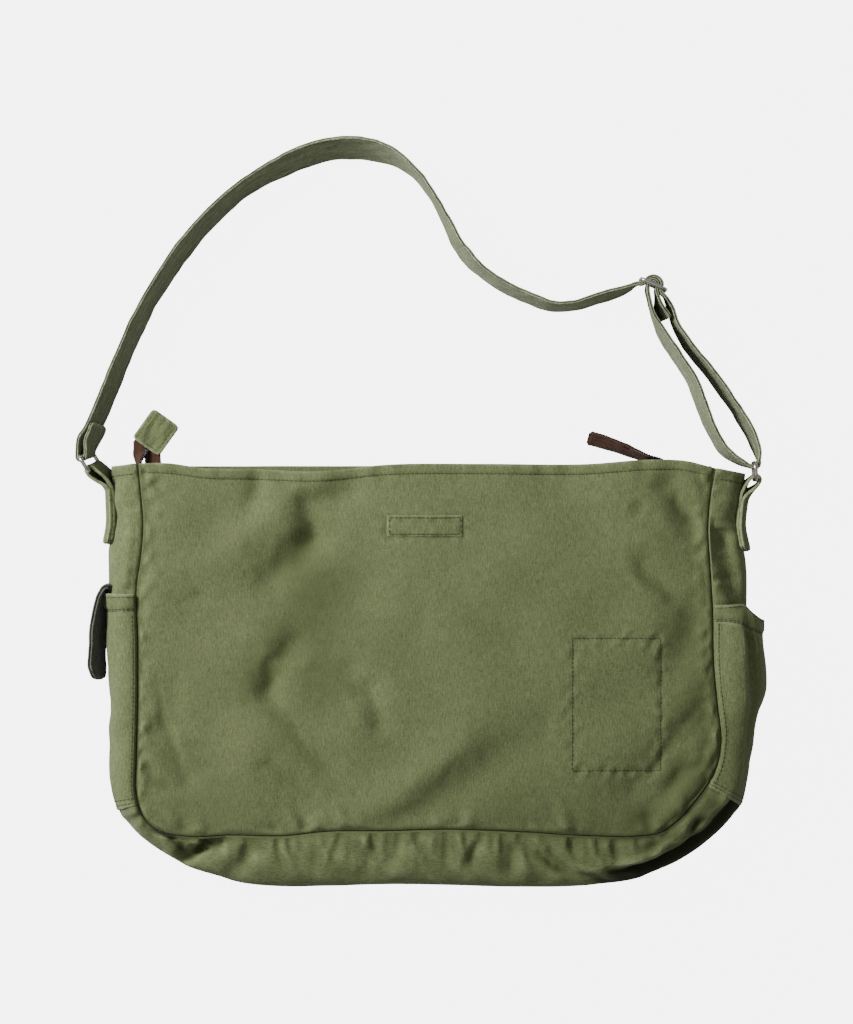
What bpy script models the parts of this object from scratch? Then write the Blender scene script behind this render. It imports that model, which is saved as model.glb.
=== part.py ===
"""Canvas shoulder bag, lying on its back with its strap laid out above the mouth.

X runs across the bag, Y from the base to the mouth and on to the strap, and Z up from the surface
that the bag lies on. The origin is on that surface, under the middle of the front panel.
Lengths are in metres.
"""

import math

import bpy
import numpy as np

# The bag's body
PANEL_WIDTH = 0.450       # front panel between the side seams
PANEL_HEIGHT = 0.286      # front panel from the mouth to the base seam
SEAM_HEIGHT = 0.040       # side seams above the floor
CROWN = 0.009             # middle of the front panel above its seams
SIDE_BULGE = 0.030        # reach of a side gusset past its seam
BASE_BULGE = 0.044        # reach of the base panel past its seam
CANVAS = 0.0016           # one layer of canvas
HEM_THICKNESS = 0.0030    # turned hem round the mouth
HEM_DEPTH = 0.0080
SEAM_ROLL = 0.0030        # rounding of a panel's edge as it turns into a seam
SEAM_ALLOWANCE = 0.0040   # cloth turned inside at a seam
CLEARANCE = 0.0004        # gap kept between two pieces that touch
FOLD_DEPTH = 0.0065
FOLD_WIDTH = 0.0120
FOLD_FADE = 0.0160        # distance from a seam over which the front panel's folds fade out
GATHER_DEPTH = 0.0035
GATHER_WIDTH = 0.0075
GATHER_FADE = 0.0100      # distance over which the gathers start below the base seam

# The side pockets and the flap of the left one
POCKET_PUFF = (0.002, 0.0135)  # how far the left and right pocket's mouth stands off its gusset
POCKET_HEM = 0.0028
FLAP_WIDTH = 0.032
FLAP_THICKNESS = 0.0030
FLAP_LENGTH = 0.0636       # how far the flap hangs below the pocket's mouth
FLAP_REACH = 0.0138        # how far it stands off the gusset
FLAP_HEIGHT = 0.0200       # its middle above the floor

# The strap and its metal
STRAP_WIDTH = 0.030
STRAP_THICKNESS = 0.0026
STRAP_RISE = 0.2454       # top of the strap's arc above the left ring
STRAP_STEP = 0.012        # spacing of the strap's cross-sections along a free stretch
WIRE = 0.0032             # thickness of the rings' and the slider's wire
BAR_CLEARANCE = 0.0006    # between a bar and the cloth wrapped round it
WIRE_CORNER = 0.0042      # rounding of a ring's and the slider's corners
RING_SPACING = 0.0130     # between a ring's two bars
METAL_HEIGHT = 0.0206     # middle of the rings and of the slider above the floor
RISE_LENGTH = 0.026       # distance from a bar within which the strap rises to it
TAB_WIDTH = 0.0285
TAB_SPREAD = 1.55         # steps of the gusset on each side of its middle that a tab covers
TAB_THICKNESS = 0.0022
TAB_SEWN = 0.044          # stretch of a tab that is sewn to its gusset

# The zip
TAPE_WIDTH = 0.0110       # one half of the zip's tape
TAPE_THICKNESS = 0.0010
TAPE_DROP = 0.0060        # from the front hem's inner side to its tape
TEETH_WIDTH = 0.0026
TEETH_THICKNESS = 0.0020
ZIP_TAB_SIDE = 0.0245
ZIP_TAB_THICKNESS = 0.0030

WIRE_SIDES = 8
TURN_STEP = 30.0          # degrees between the sections of cloth wrapped round a bar
SIDE_ROWS = 15            # sections along each side seam, the hem's aside
BASE_COLUMNS = 34         # sections along the base seam
BAND_STEPS = 6            # steps round a gusset from its front seam to its back one
BAND_ROUNDNESS = 2.3      # 2 is an ellipse, more is boxier
UP = np.array([0.0, 0.0, 1.0])


def table(columns, rows):
    """A table with named columns, each an array."""
    values = np.array(rows, float)
    return {name: values[:, i] for i, name in enumerate(columns)}


# The seam round the front panel, from the mouth's left corner round the base to the mouth's right
# corner. x and y are shares of half the panel's width and height, height is a share of SEAM_HEIGHT.
# The gusset's reach past the seam is side x SIDE_BULGE + base x BASE_BULGE.
SEAM = table(
    ("x", "y", "side", "base", "height"),
    [
        (-1.000, 1.010, 0.70, 0.00, 0.86),
        (-0.990, 0.860, 0.77, 0.00, 0.92),
        (-0.981, 0.670, 0.82, 0.00, 0.97),
        (-0.988, 0.510, 0.88, 0.00, 1.00),
        (-1.003, 0.346, 0.76, 0.00, 0.99),
        (-1.000, 0.050, 0.70, 0.00, 1.00),
        (-1.000, -0.280, 0.68, 0.00, 1.00),
        (-1.005, -0.610, 0.62, 0.00, 0.98),
        (-1.007, -0.770, 0.52, 0.03, 0.94),
        (-0.994, -0.869, 0.28, 0.15, 0.90),
        (-0.962, -0.951, 0.10, 0.22, 0.87),
        (-0.912, -1.000, 0.00, 0.33, 0.86),
        (-0.825, -1.024, 0.00, 0.54, 0.87),
        (-0.681, -1.016, 0.00, 0.82, 0.90),
        (-0.497, -1.020, 0.00, 0.92, 0.93),
        (-0.340, -0.995, 0.00, 0.99, 0.95),
        (-0.144, -0.992, 0.00, 0.97, 0.97),
        (0.081, -0.984, 0.00, 1.01, 0.97),
        (0.320, -0.997, 0.00, 1.00, 0.96),
        (0.577, -1.020, 0.00, 0.89, 0.93),
        (0.730, -1.022, 0.00, 0.75, 0.91),
        (0.813, -1.000, 0.00, 0.61, 0.90),
        (0.868, -0.940, 0.00, 0.63, 0.90),
        (0.925, -0.842, 0.10, 0.62, 0.91),
        (0.972, -0.744, 0.45, 0.38, 0.93),
        (1.006, -0.635, 0.74, 0.06, 0.95),
        (1.019, -0.500, 0.75, 0.00, 0.97),
        (1.007, -0.308, 0.82, 0.00, 1.00),
        (0.994, -0.090, 0.88, 0.00, 1.00),
        (0.990, 0.210, 0.92, 0.00, 1.00),
        (0.981, 0.450, 0.97, 0.00, 1.00),
        (0.974, 0.673, 0.84, 0.00, 0.97),
        (0.986, 0.864, 0.84, 0.00, 0.92),
        (1.000, 0.985, 0.81, 0.00, 0.86),
    ],
)
LEFT_JOIN = 9     # rows of SEAM where a side gusset meets the base panel
RIGHT_JOIN = 24

# The front panel's hem edge. along is the share from left to right, rise a share of HEM_DEPTH above
# the straight line between the mouth's corners, sag a share of SEAM_HEIGHT below it.
RIM = table(
    ("along", "rise", "sag"),
    [
        (0.00, 0.00, 0.00),
        (0.05, 0.02, 0.04),
        (0.11, -0.42, 0.12),
        (0.20, -0.50, 0.20),
        (0.31, -0.66, 0.28),
        (0.43, 0.04, 0.22),
        (0.60, 0.20, 0.16),
        (0.78, 0.26, 0.12),
        (0.90, 0.74, 0.02),
        (0.95, 0.66, 0.02),
        (1.00, 0.00, 0.00),
    ],
)

# Soft folds of the front panel and the gussets, from a start to an end point given as shares of half
# the panel's width and height. A negative depth is a groove and a positive one a ridge, in shares of
# FOLD_DEPTH; width is in shares of FOLD_WIDTH.
FOLDS = table(
    ("x0", "y0", "x1", "y1", "depth", "width"),
    [
        (-0.262, 0.837, -0.425, 0.771, -0.75, 1.00),
        (-0.410, 0.780, -0.390, 0.591, -0.85, 0.85),
        (-0.390, 0.591, -0.542, 0.384, -0.80, 1.00),
        (-0.588, 0.913, -0.605, 0.766, -0.55, 0.80),
        (-0.640, 0.620, -0.352, 0.929, 0.55, 1.10),
        (-0.924, 0.346, -0.490, 0.689, 0.50, 1.50),
        (-0.463, 0.025, -0.542, -0.226, -0.85, 0.95),
        (-0.542, -0.226, -0.341, -0.619, -0.60, 0.95),
        (-0.553, -0.651, -0.393, -0.891, -0.60, 0.80),
        (-0.189, -0.226, -0.158, -0.400, -0.80, 0.80),
        (-0.265, -0.128, -0.244, -0.248, -0.45, 0.80),
        (-0.168, -0.918, 0.133, -0.553, 0.70, 1.30),
        (-0.106, -0.950, 0.324, -0.515, -0.65, 1.50),
        (-0.882, -0.215, -0.879, -0.400, -0.45, 0.80),
        (-0.917, -0.450, -0.823, -0.695, -0.70, 0.80),
        (0.837, 0.875, 0.969, 0.591, -1.00, 0.85),
        (0.757, 0.450, 0.906, 0.232, -0.75, 0.90),
        (0.945, 0.139, 0.834, -0.172, -0.75, 1.10),
        (0.965, -0.411, 0.740, -0.760, -0.75, 1.20),
        (0.875, -0.727, 0.782, -0.924, -0.65, 0.90),
        (0.970, -0.564, 0.865, -0.870, 0.55, 0.90),
        (0.300, 0.800, 0.700, 0.620, -0.35, 2.00),
        (0.050, 0.250, 0.420, 0.500, 0.45, 3.00),
        (1.030, 0.600, 1.085, 0.264, -0.95, 0.60),
        (-1.045, 0.560, -1.060, 0.380, 0.35, 0.80),
    ],
)

# Gathers of the base panel below its seam. at is a share of half the panel's width, lean a share of
# the gather's length that its foot is shifted by, length a share of BASE_BULGE, depth of GATHER_DEPTH.
GATHERS = table(
    ("at", "lean", "length", "depth"),
    [
        (-0.540, -0.90, 0.75, 1.00),
        (-0.265, 0.05, 0.45, 0.55),
        (-0.165, -0.35, 0.80, 1.00),
        (-0.075, -0.55, 0.70, 0.70),
        (0.070, 0.05, 0.55, 0.80),
        (0.185, -0.30, 0.55, 0.70),
        (0.300, 0.00, 0.60, 1.00),
        (0.395, 0.25, 0.35, 0.70),
        (0.495, 0.00, 0.50, 0.60),
        (0.655, 0.10, 0.50, 0.60),
        (0.780, 0.20, 0.55, 0.70),
    ],
)

# The tuck at the base's left corner and the crease at its right, in the same columns as FOLDS
CORNER_TUCKS = table(
    ("x0", "y0", "x1", "y1", "depth", "width"),
    [
        (-0.700, -1.020, -0.835, -1.140, -1.30, 0.55),
        (0.400, -1.060, 0.700, -1.260, 0.30, 0.45),
    ],
)

# The side pockets, left then right: mouth and foot are shares of half the panel's height, drop is
# how far the middle of the mouth lies below its ends, in the same shares.
POCKETS = table(
    ("mouth", "foot", "drop"),
    [
        (0.297, -0.850, 0.00),
        (0.237, -0.745, 0.09),
    ],
)
POCKET_HEM_DEPTH = 0.0110
POCKET_STEPS = 5          # of the gusset's steps that a pocket covers, from the front seam

# The flap over the left pocket. out is a share of FLAP_REACH from the gusset, down a share of
# FLAP_LENGTH below the pocket's mouth, lean the degrees that its upper edge tips outwards.
FLAP = table(
    ("out", "down", "lean"),
    [
        (0.145, -0.020, 0.0),
        (0.150, -0.055, 0.0),
        (0.270, -0.092, 0.0),
        (0.470, -0.080, 4.0),
        (0.625, -0.020, 8.0),
        (0.745, 0.110, 12.0),
        (0.880, 0.344, 17.0),
        (0.970, 0.626, 18.0),
        (1.000, 0.834, 18.0),
        (0.900, 1.000, 17.0),
    ],
)

# The rings, left then right: x and y of the middle are shares of half the panel's width and height,
# turn is the way in plan from the tab's bar to the strap's in degrees, lean the degrees that a ring's
# upper side tips to the left of that way, tab_top where its tab leaves the gusset.
RINGS = table(
    ("x", "y", "turn", "lean", "tab_top"),
    [
        (-1.169, 1.023, 122.0, 14.0, 0.864),
        (1.140, 0.967, 93.5, 0.0, 0.826),
    ],
)

# The strap's free stretches in the order that it runs. along is a share of the distance between the
# rings' middles from the left one, up a share of STRAP_RISE above it, lean the degrees that the
# strap's upper edge tips to the left of its way.
STRAP_COLUMNS = ("along", "up", "lean")
SEWN_END = table(
    STRAP_COLUMNS,
    [
        (0.0143, 0.1176, -20.0),
        (0.0092, 0.0912, -20.0),
        (0.0023, 0.0588, -18.0),
    ],
)
# along is the share of the way from the left ring to the slider, up a share of STRAP_RISE above the
# straight line between them.
ARC = table(
    STRAP_COLUMNS,
    [
        (-0.0118, 0.0622, 18.0),
        (0.0034, 0.0982, 20.0),
        (0.0176, 0.1443, 22.0),
        (0.0391, 0.2283, 22.0),
        (0.0666, 0.3336, 21.0),
        (0.0982, 0.4329, 20.5),
        (0.1300, 0.5111, 21.5),
        (0.1676, 0.5860, 22.5),
        (0.2092, 0.6506, 22.0),
        (0.2645, 0.7106, 21.5),
        (0.2960, 0.7319, 23.0),
        (0.3476, 0.7510, 28.5),
        (0.4010, 0.7590, 31.0),
        (0.4563, 0.7440, 31.5),
        (0.5037, 0.7094, 28.0),
        (0.5507, 0.6480, 17.0),
        (0.5727, 0.6057, 11.0),
        (0.5956, 0.5469, 8.5),
        (0.6154, 0.4797, 7.5),
        (0.6353, 0.4006, 10.5),
        (0.6553, 0.3204, 14.0),
        (0.6806, 0.2482, 14.5),
        (0.7113, 0.1860, 13.0),
        (0.7474, 0.1277, 12.5),
        (0.7836, 0.0774, 14.0),
        (0.8179, 0.0371, 12.0),
        (0.8379, 0.0219, 10.5),
        (0.8652, 0.0116, 11.0),
        (0.8921, 0.0125, 12.0),
        (0.9318, 0.0113, 12.0),
        (0.9576, 0.0148, 7.0),
    ],
)

# The strap between the slider and the right ring. down is the share of the way from the slider to the
# ring, aside a share of the distance between them to the left of that way.
LEG_COLUMNS = ("down", "aside", "lean")
OUTER_LEG = table(
    LEG_COLUMNS,
    [
        (0.1217, 0.0220, 4.0),
        (0.2136, 0.0039, 8.0),
        (0.3359, 0.0120, 12.0),
        (0.4659, 0.0345, 13.0),
        (0.5985, 0.0548, 13.0),
        (0.7264, 0.0663, 12.0),
        (0.8425, 0.0671, 7.0),
        (0.9261, 0.0536, 0.0),
    ],
)
INNER_LEG = table(
    LEG_COLUMNS,
    [
        (0.9141, -0.0469, -1.0),
        (0.8373, -0.0798, -6.0),
        (0.7655, -0.0835, -11.0),
        (0.6499, -0.0738, -13.0),
        (0.5436, -0.0586, -13.0),
        (0.4344, -0.0525, -13.0),
        (0.3332, -0.0614, -12.0),
        (0.2152, -0.0718, -10.0),
        (0.1403, -0.0666, -5.0),
        (0.0600, -0.0517, 0.0),
    ],
)
TAIL = table(
    LEG_COLUMNS,
    [
        (0.0711, -0.0121, 0.0),
        (0.1273, -0.0267, 3.0),
        (0.1723, -0.0324, 6.0),
    ],
)
SLIDER_ALONG = 0.8469     # the slider's middle bar, in shares as SEWN_END has them
SLIDER_UP = 0.5610
SLIDER_TURN = -24.0       # way of the slider's plate in plan, in degrees from X
OUTER_TURN = (10.0, -112.0)   # where the strap meets and leaves the right ring's bar, in degrees
SEWN_TURN = (0.0, -190.0)     # the same at the left ring
TAIL_TURN = (190.0, -10.0)    # the same at the slider's middle bar, from the plate's way

# The zip's tapes where they leave the mouth. x and y are shares of half the panel's width and height,
# height is in shares of SEAM_HEIGHT, roll the degrees that the teeth are turned up from flat.
ZIP_COLUMNS = ("x", "y", "height", "roll")
ZIP_CLOSED_FRONT = table(
    ZIP_COLUMNS,
    [
        (-0.930, 1.120, 0.50, 0.0),
        (-0.930, 1.050, 0.50, 0.0),
        (-0.930, 0.985, 0.53, 0.0),
        (-0.915, 0.925, 0.60, 0.0),
        (-0.870, 0.900, 0.68, 0.0),
    ],
)
ZIP_CLOSED_BACK = table(
    ZIP_COLUMNS,
    [
        (-1.012, 1.145, 0.50, 0.0),
        (-1.012, 1.085, 0.49, 5.0),
        (-1.012, 1.025, 0.46, 60.0),
        (-1.000, 0.965, 0.41, 90.0),
        (-0.965, 0.915, 0.36, 100.0),
        (-0.905, 0.895, 0.28, 130.0),
    ],
)
ZIP_LOOSE_END = table(
    ZIP_COLUMNS,
    [
        (0.780, 0.930, 0.52, 30.0),
        (0.825, 0.962, 0.46, 75.0),
        (0.822, 1.012, 0.41, 80.0),
        (0.768, 1.038, 0.36, 70.0),
        (0.698, 1.082, 0.28, 60.0),
        (0.626, 1.130, 0.21, 52.0),
        (0.560, 1.158, 0.17, 48.0),
    ],
)
ZIP_TAB_MIDDLE = (-0.939, 1.180)
ZIP_TAB_TURN = 54.5       # degrees from X

OLIVE = (0.158, 0.180, 0.088, 1.0)
CHARCOAL = (0.030, 0.034, 0.027, 1.0)
BROWN = (0.050, 0.024, 0.017, 1.0)
BLACK = (0.012, 0.012, 0.012, 1.0)
NICKEL = (0.560, 0.540, 0.500, 1.0)


def spline(knots, values, at):
    """Smooth curve through the rows of values at the knots, read at the wanted places: cubic Hermite
    pieces whose slopes are the rows' central differences."""
    knots = np.asarray(knots, float)
    values = np.asarray(values, float)
    at = np.asarray(at, float)
    slopes = np.gradient(values, knots, axis=0)
    piece = np.clip(np.searchsorted(knots, at, side="right") - 1, 0, len(knots) - 2)
    step = knots[piece + 1] - knots[piece]
    u = (at - knots[piece]) / step
    shape = (-1,) + (1,) * (values.ndim - 1)
    u = u.reshape(shape)
    step = step.reshape(shape)
    return (
        (2 * u**3 - 3 * u**2 + 1) * values[piece]
        + (u**3 - 2 * u**2 + u) * step * slopes[piece]
        + (3 * u**2 - 2 * u**3) * values[piece + 1]
        + (u**3 - u**2) * step * slopes[piece + 1]
    )


def smoothstep(value):
    value = np.clip(value, 0.0, 1.0)
    return value * value * (3 - 2 * value)


def unit(vectors):
    return vectors / np.linalg.norm(vectors, axis=-1, keepdims=True)


def distances(points):
    """Distance along a run of points, starting at 0."""
    return np.concatenate([[0.0], np.cumsum(np.linalg.norm(np.diff(points, axis=0), axis=1))])


def plan_way(degrees):
    """Direction in plan at an angle from X."""
    angle = math.radians(degrees)
    return np.array([math.cos(angle), math.sin(angle), 0.0])


def panel_point(x, y):
    """A place in plan from shares of half the front panel's width and height."""
    return np.stack([np.asarray(x) * PANEL_WIDTH / 2, np.asarray(y) * PANEL_HEIGHT / 2], axis=-1)


# Making materials and meshes


def make_material(name, colour, roughness, metallic=0.0):
    made = bpy.data.materials.new(name)
    made.use_nodes = True
    shader = made.node_tree.nodes["Principled BSDF"]
    shader.inputs["Base Color"].default_value = colour
    shader.inputs["Roughness"].default_value = roughness
    shader.inputs["Metallic"].default_value = metallic
    made.diffuse_color = colour
    return made


def quads_between(rows):
    """The four-sided faces between each row of point numbers and the next."""
    return [
        (a[i], a[i + 1], b[i + 1], b[i])
        for a, b in zip(rows[:-1], rows[1:])
        for i in range(len(a) - 1)
    ]


def grid(rows):
    """Points and faces of a surface given as an array of rows of points."""
    rows = np.asarray(rows, float)
    numbers = np.arange(rows.shape[0] * rows.shape[1]).reshape(rows.shape[:2])
    return rows.reshape(-1, 3), quads_between(numbers.tolist())


def flipped(faces):
    return [face[::-1] for face in faces]


def cloth(name, points, faces, thickness, material, offset=-1.0, thin=()):
    """A cloth piece: the open surface given, thickened by Solidify. offset -1 puts the thickness on
    the inner side and 0 on both. thin lists the points of single canvas where the rest is hemmed."""
    mesh = bpy.data.meshes.new(name)
    mesh.from_pydata([tuple(p) for p in points], [], faces)
    mesh.shade_smooth()
    mesh.set_sharp_from_angle(angle=math.radians(50))
    mesh.materials.append(material)
    piece = bpy.data.objects.new(name, mesh)
    BAG.objects.link(piece)
    wall = piece.modifiers.new("thickness", "SOLIDIFY")
    wall.thickness = thickness
    wall.offset = offset
    wall.use_even_offset = True
    wall.use_quality_normals = True
    if len(thin):
        group = piece.vertex_groups.new(name="hem")
        group.add(sorted(set(range(len(points))) - set(thin)), 1.0, "REPLACE")
        wall.vertex_group = "hem"
        wall.thickness_vertex_group = CANVAS / thickness
    return piece


def closed_wire(name, outline, material):
    """A round wire swept along a closed outline."""
    curve = bpy.data.curves.new(name + "_line", "CURVE")
    curve.dimensions = "3D"
    curve.bevel_depth = WIRE / 2
    curve.bevel_resolution = (WIRE_SIDES - 4) // 2
    line = curve.splines.new("POLY")
    line.points.add(len(outline) - 1)
    for point, place in zip(line.points, outline):
        point.co = (*place, 1.0)
    line.use_cyclic_u = True
    guide = bpy.data.objects.new(name + "_line", curve)
    bpy.context.scene.collection.objects.link(guide)
    bpy.context.view_layer.update()
    graph = bpy.context.evaluated_depsgraph_get()
    mesh = bpy.data.meshes.new_from_object(guide.evaluated_get(graph))
    bpy.data.objects.remove(guide)
    mesh.name = name
    mesh.materials.clear()
    mesh.materials.append(material)
    mesh.shade_smooth()
    wire = bpy.data.objects.new(name, mesh)
    BAG.objects.link(wire)
    return wire


# The body: one seam round the front panel, and a band from it round the sides and base to the back

SEAM_PLAN = panel_point(SEAM["x"], SEAM["y"])
SEAM_RUN = distances(SEAM_PLAN)
SEAM_REACH = SEAM["side"] * SIDE_BULGE + SEAM["base"] * BASE_BULGE
SEAM_EDGE = CLEARANCE / 2  # from the seam's line to the cloth on either side of it


def seam(at):
    """Plan position, outward direction, reach of the gusset and height of the seam, at distances
    along it."""
    at = np.asarray(at, float)
    probe = 0.002
    ahead = spline(SEAM_RUN, SEAM_PLAN, np.minimum(at + probe, SEAM_RUN[-1]))
    behind = spline(SEAM_RUN, SEAM_PLAN, np.maximum(at - probe, 0.0))
    way = unit(ahead - behind)
    return {
        "plan": spline(SEAM_RUN, SEAM_PLAN, at),
        "out": np.stack([way[:, 1], -way[:, 0]], axis=1),
        "reach": spline(SEAM_RUN, SEAM_REACH, at),
        "height": spline(SEAM_RUN, SEAM["height"], at) * SEAM_HEIGHT,
    }


def side_at(side, share):
    """Distance along the seam to where the left (0) or right (1) side is at a share of half the
    panel's height."""
    ends = ((0.0, SEAM_RUN[LEFT_JOIN]), (SEAM_RUN[-1], SEAM_RUN[RIGHT_JOIN]))[side]
    at = np.linspace(*ends, 200)
    heights = seam(at)["plan"][:, 1] / (PANEL_HEIGHT / 2)
    return np.interp(-np.asarray(share, float), -heights, at)


def folds(x, y, rows):
    """Height that a table's folds add at each place in plan: a bell across each fold's line."""
    height = np.zeros(np.shape(x))
    starts = panel_point(rows["x0"], rows["y0"])
    ends = panel_point(rows["x1"], rows["y1"])
    for start, end, depth, width in zip(starts, ends, rows["depth"], rows["width"]):
        way = end - start
        share = np.clip(((x - start[0]) * way[0] + (y - start[1]) * way[1]) / (way @ way), 0.0, 1.0)
        away = np.hypot(x - start[0] - share * way[0], y - start[1] - share * way[1])
        height += depth * FOLD_DEPTH * np.exp(-((away / (width * FOLD_WIDTH)) ** 2))
    return height


def gathers(x, y):
    """Height of the base panel's gathers: grooves that run from the seam down over the base."""
    height = np.zeros(np.shape(x))
    for at, lean, length, depth in zip(*(GATHERS[c] for c in ("at", "lean", "length", "depth"))):
        start = panel_point(at, -1.0)
        way = np.array([lean, -1.0]) * length * BASE_BULGE
        share = np.clip(((x - start[0]) * way[0] + (y - start[1]) * way[1]) / (way @ way), 0.0, 1.0)
        away = np.hypot(x - start[0] - share * way[0], y - start[1] - share * way[1])
        height -= depth * GATHER_DEPTH * np.exp(-((away / GATHER_WIDTH) ** 2))
    return height


def side_shares():
    """Where the sections of a side lie, as shares from the mouth to the base, the hem's first."""
    hem = HEM_DEPTH / SEAM_RUN[LEFT_JOIN]
    return np.concatenate([[0.0, hem, hem * 1.2], np.linspace(0.0, 1.0, SIDE_ROWS + 1)[1:]])


def seam_stations():
    """Distances along the seam of the left side's, the base's and the right side's sections."""
    left, right, end = SEAM_RUN[LEFT_JOIN], SEAM_RUN[RIGHT_JOIN], SEAM_RUN[-1]
    shares = side_shares()
    return (
        shares * left,
        np.linspace(left, right, BASE_COLUMNS + 1),
        end - shares[::-1] * (end - right),
    )


def whole_seam():
    left, base, right = seam_stations()
    return np.concatenate([left, base[1:-1], right])


def seam_ring(at, out, drop):
    """Points beside the seam: out of its line, and dropped below its height."""
    here = seam(at)
    return np.column_stack([here["plan"] + here["out"] * out, here["height"] - drop])


def front_surface():
    """The front panel inside its seams, rows of points from mouth to base: a Coons patch between the
    two sides, the base and the hem edge, raised by the crown and the folds."""
    left_at, base_at, right_at = seam_stations()
    inset = -(SEAM_EDGE + SEAM_ROLL)
    left = seam_ring(left_at, inset, 0.0)
    base = seam_ring(base_at, inset, 0.0)
    right = seam_ring(right_at, inset, 0.0)[::-1]
    across = (distances(base) / distances(base)[-1])[None, :, None]
    down = side_shares()[:, None, None]
    rim = spline(RIM["along"], np.column_stack([RIM["rise"], RIM["sag"]]), across[0, :, 0])
    top = left[0] + across[0] * (right[0] - left[0])
    top[:, 1] += rim[:, 0] * HEM_DEPTH
    top[:, 2] -= rim[:, 1] * SEAM_HEIGHT
    patch = (
        (1 - down) * top[None]
        + down * base[None]
        + (1 - across) * left[:, None]
        + across * right[:, None]
        - (1 - down) * ((1 - across) * left[0] + across * right[0])
        - down * ((1 - across) * left[-1] + across * right[-1])
    )
    u, v = across[..., 0], down[..., 0]
    dome = np.maximum(np.sin(np.pi * u) * np.sin(np.pi * (0.12 + 0.88 * v)), 0.0) ** 0.6
    fade = smoothstep(np.minimum(u, 1 - u) * PANEL_WIDTH / FOLD_FADE)
    fade = fade * smoothstep((1 - v) * PANEL_HEIGHT / FOLD_FADE)
    patch[..., 2] += CROWN * dome + fade * folds(patch[..., 0], patch[..., 1], FOLDS)
    return patch


def build_front_panel(material):
    """The front panel, hemmed at the mouth, with its edge rolled into the seam on three sides."""
    patch = front_surface()
    rows, columns = patch.shape[:2]
    numbers = np.arange(rows * columns).reshape(rows, columns)
    edge = np.concatenate([numbers[:, 0], numbers[-1, 1:-1], numbers[::-1, -1]])
    at = whole_seam()
    rolled = (1 - math.sqrt(0.5)) * SEAM_ROLL
    points = np.concatenate(
        [
            patch.reshape(-1, 3),
            seam_ring(at, -SEAM_EDGE - rolled, rolled),
            seam_ring(at, -SEAM_EDGE, SEAM_ROLL),
            seam_ring(at, -SEAM_EDGE, SEAM_ROLL + SEAM_ALLOWANCE),
        ]
    )
    first = rows * columns
    count = len(at)
    lines = [edge.tolist()]
    lines += [list(range(first + i * count, first + (i + 1) * count)) for i in range(3)]
    faces = flipped(quads_between(numbers.tolist())) + flipped(quads_between(lines))
    hemmed = set(range(2 * columns))
    for line in lines[1:]:
        hemmed |= {line[0], line[1], line[-2], line[-1]}
    thin = sorted(set(range(len(points))) - hemmed)
    return cloth("front_panel", points, faces, HEM_THICKNESS, material, thin=thin)


def build_back_panel(material):
    """The back panel, flat on the floor, its edge turned up into the seam on three sides."""
    at = whole_seam()
    here = seam(at)
    rolled = (1 - math.sqrt(0.5)) * SEAM_ROLL
    rings = []
    for inwards, rise in (
        (SEAM_EDGE + SEAM_ROLL, 0.0),
        (SEAM_EDGE + rolled, rolled),
        (SEAM_EDGE, SEAM_ROLL),
        (SEAM_EDGE, SEAM_ROLL + SEAM_ALLOWANCE),
    ):
        plan = here["plan"] - here["out"] * inwards
        rings.append(np.column_stack([plan, np.full(len(at), rise)]))
    count = len(at)
    lines = [list(range(i * count, (i + 1) * count)) for i in range(len(rings))]
    inner = lines[0]
    faces = quads_between(lines)
    faces.append((inner[-1], inner[-2], inner[1], inner[0]))
    faces.append((inner[-2], inner[-3], inner[2], inner[1]))
    faces.append(tuple(inner[2 : count - 2][::-1]))
    hemmed = {line[i] for line in lines for i in (0, 1, -2, -1)}
    thin = sorted(set(range(count * len(rings))) - hemmed)
    return cloth("back_panel", np.concatenate(rings), faces, HEM_THICKNESS, material, thin=thin)


def band_surface(at, angles):
    """Outer surface of the gussets and base at distances along the seam (rows) and at angles round
    from the front seam (90 degrees) over the middle (0) to the back seam (-90), as a superellipse."""
    here = seam(at)
    angles = np.radians(angles)
    power = 2 / BAND_ROUNDNESS
    out = np.maximum(np.cos(angles), 0.0) ** power
    up = np.sign(np.sin(angles)) * np.abs(np.sin(angles)) ** power
    out[out < 1e-9] = 0.0
    start = SEAM_EDGE + SEAM_ROLL
    reach = start + (here["reach"][:, None] - start) * out
    plan = here["plan"][:, None] + here["out"][:, None] * reach[..., None]
    x, y = plan[..., 0], plan[..., 1]
    half = here["height"][:, None] / 2
    upper = np.clip(up, 0.0, 1.0) * smoothstep(out / 0.35)
    on_base = smoothstep((-0.9 * PANEL_HEIGHT / 2 - y) / GATHER_FADE)
    lift = folds(x, y, FOLDS) + on_base * (gathers(x, y) + folds(x, y, CORNER_TUCKS))
    height = half + half * up + upper * lift
    return np.dstack([x, y, np.maximum(height, 0.0)])


def build_band_piece(name, at, material, hem_rows=()):
    """A stretch of the band between two places on the seam, with the cloth turned into both seams."""
    edge = seam_ring(at, SEAM_EDGE, 0.0)
    top = edge[:, 2]

    def line(height):
        return np.column_stack([edge[:, :2], np.broadcast_to(height, len(at))])[:, None]

    rows = np.concatenate(
        [
            line(top - SEAM_ROLL - SEAM_ALLOWANCE),
            line(top - SEAM_ROLL),
            band_surface(at, np.linspace(90.0, -90.0, BAND_STEPS + 1)),
            line(SEAM_ROLL),
            line(SEAM_ROLL + SEAM_ALLOWANCE),
        ],
        axis=1,
    )
    points, faces = grid(rows)
    columns = rows.shape[1]
    if not hem_rows:
        return cloth(name, points, faces, CANVAS, material)
    hemmed = {row * columns + column for row in hem_rows for column in range(columns)}
    thin = sorted(set(range(len(points))) - hemmed)
    return cloth(name, points, faces, HEM_THICKNESS, material, thin=thin)


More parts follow.
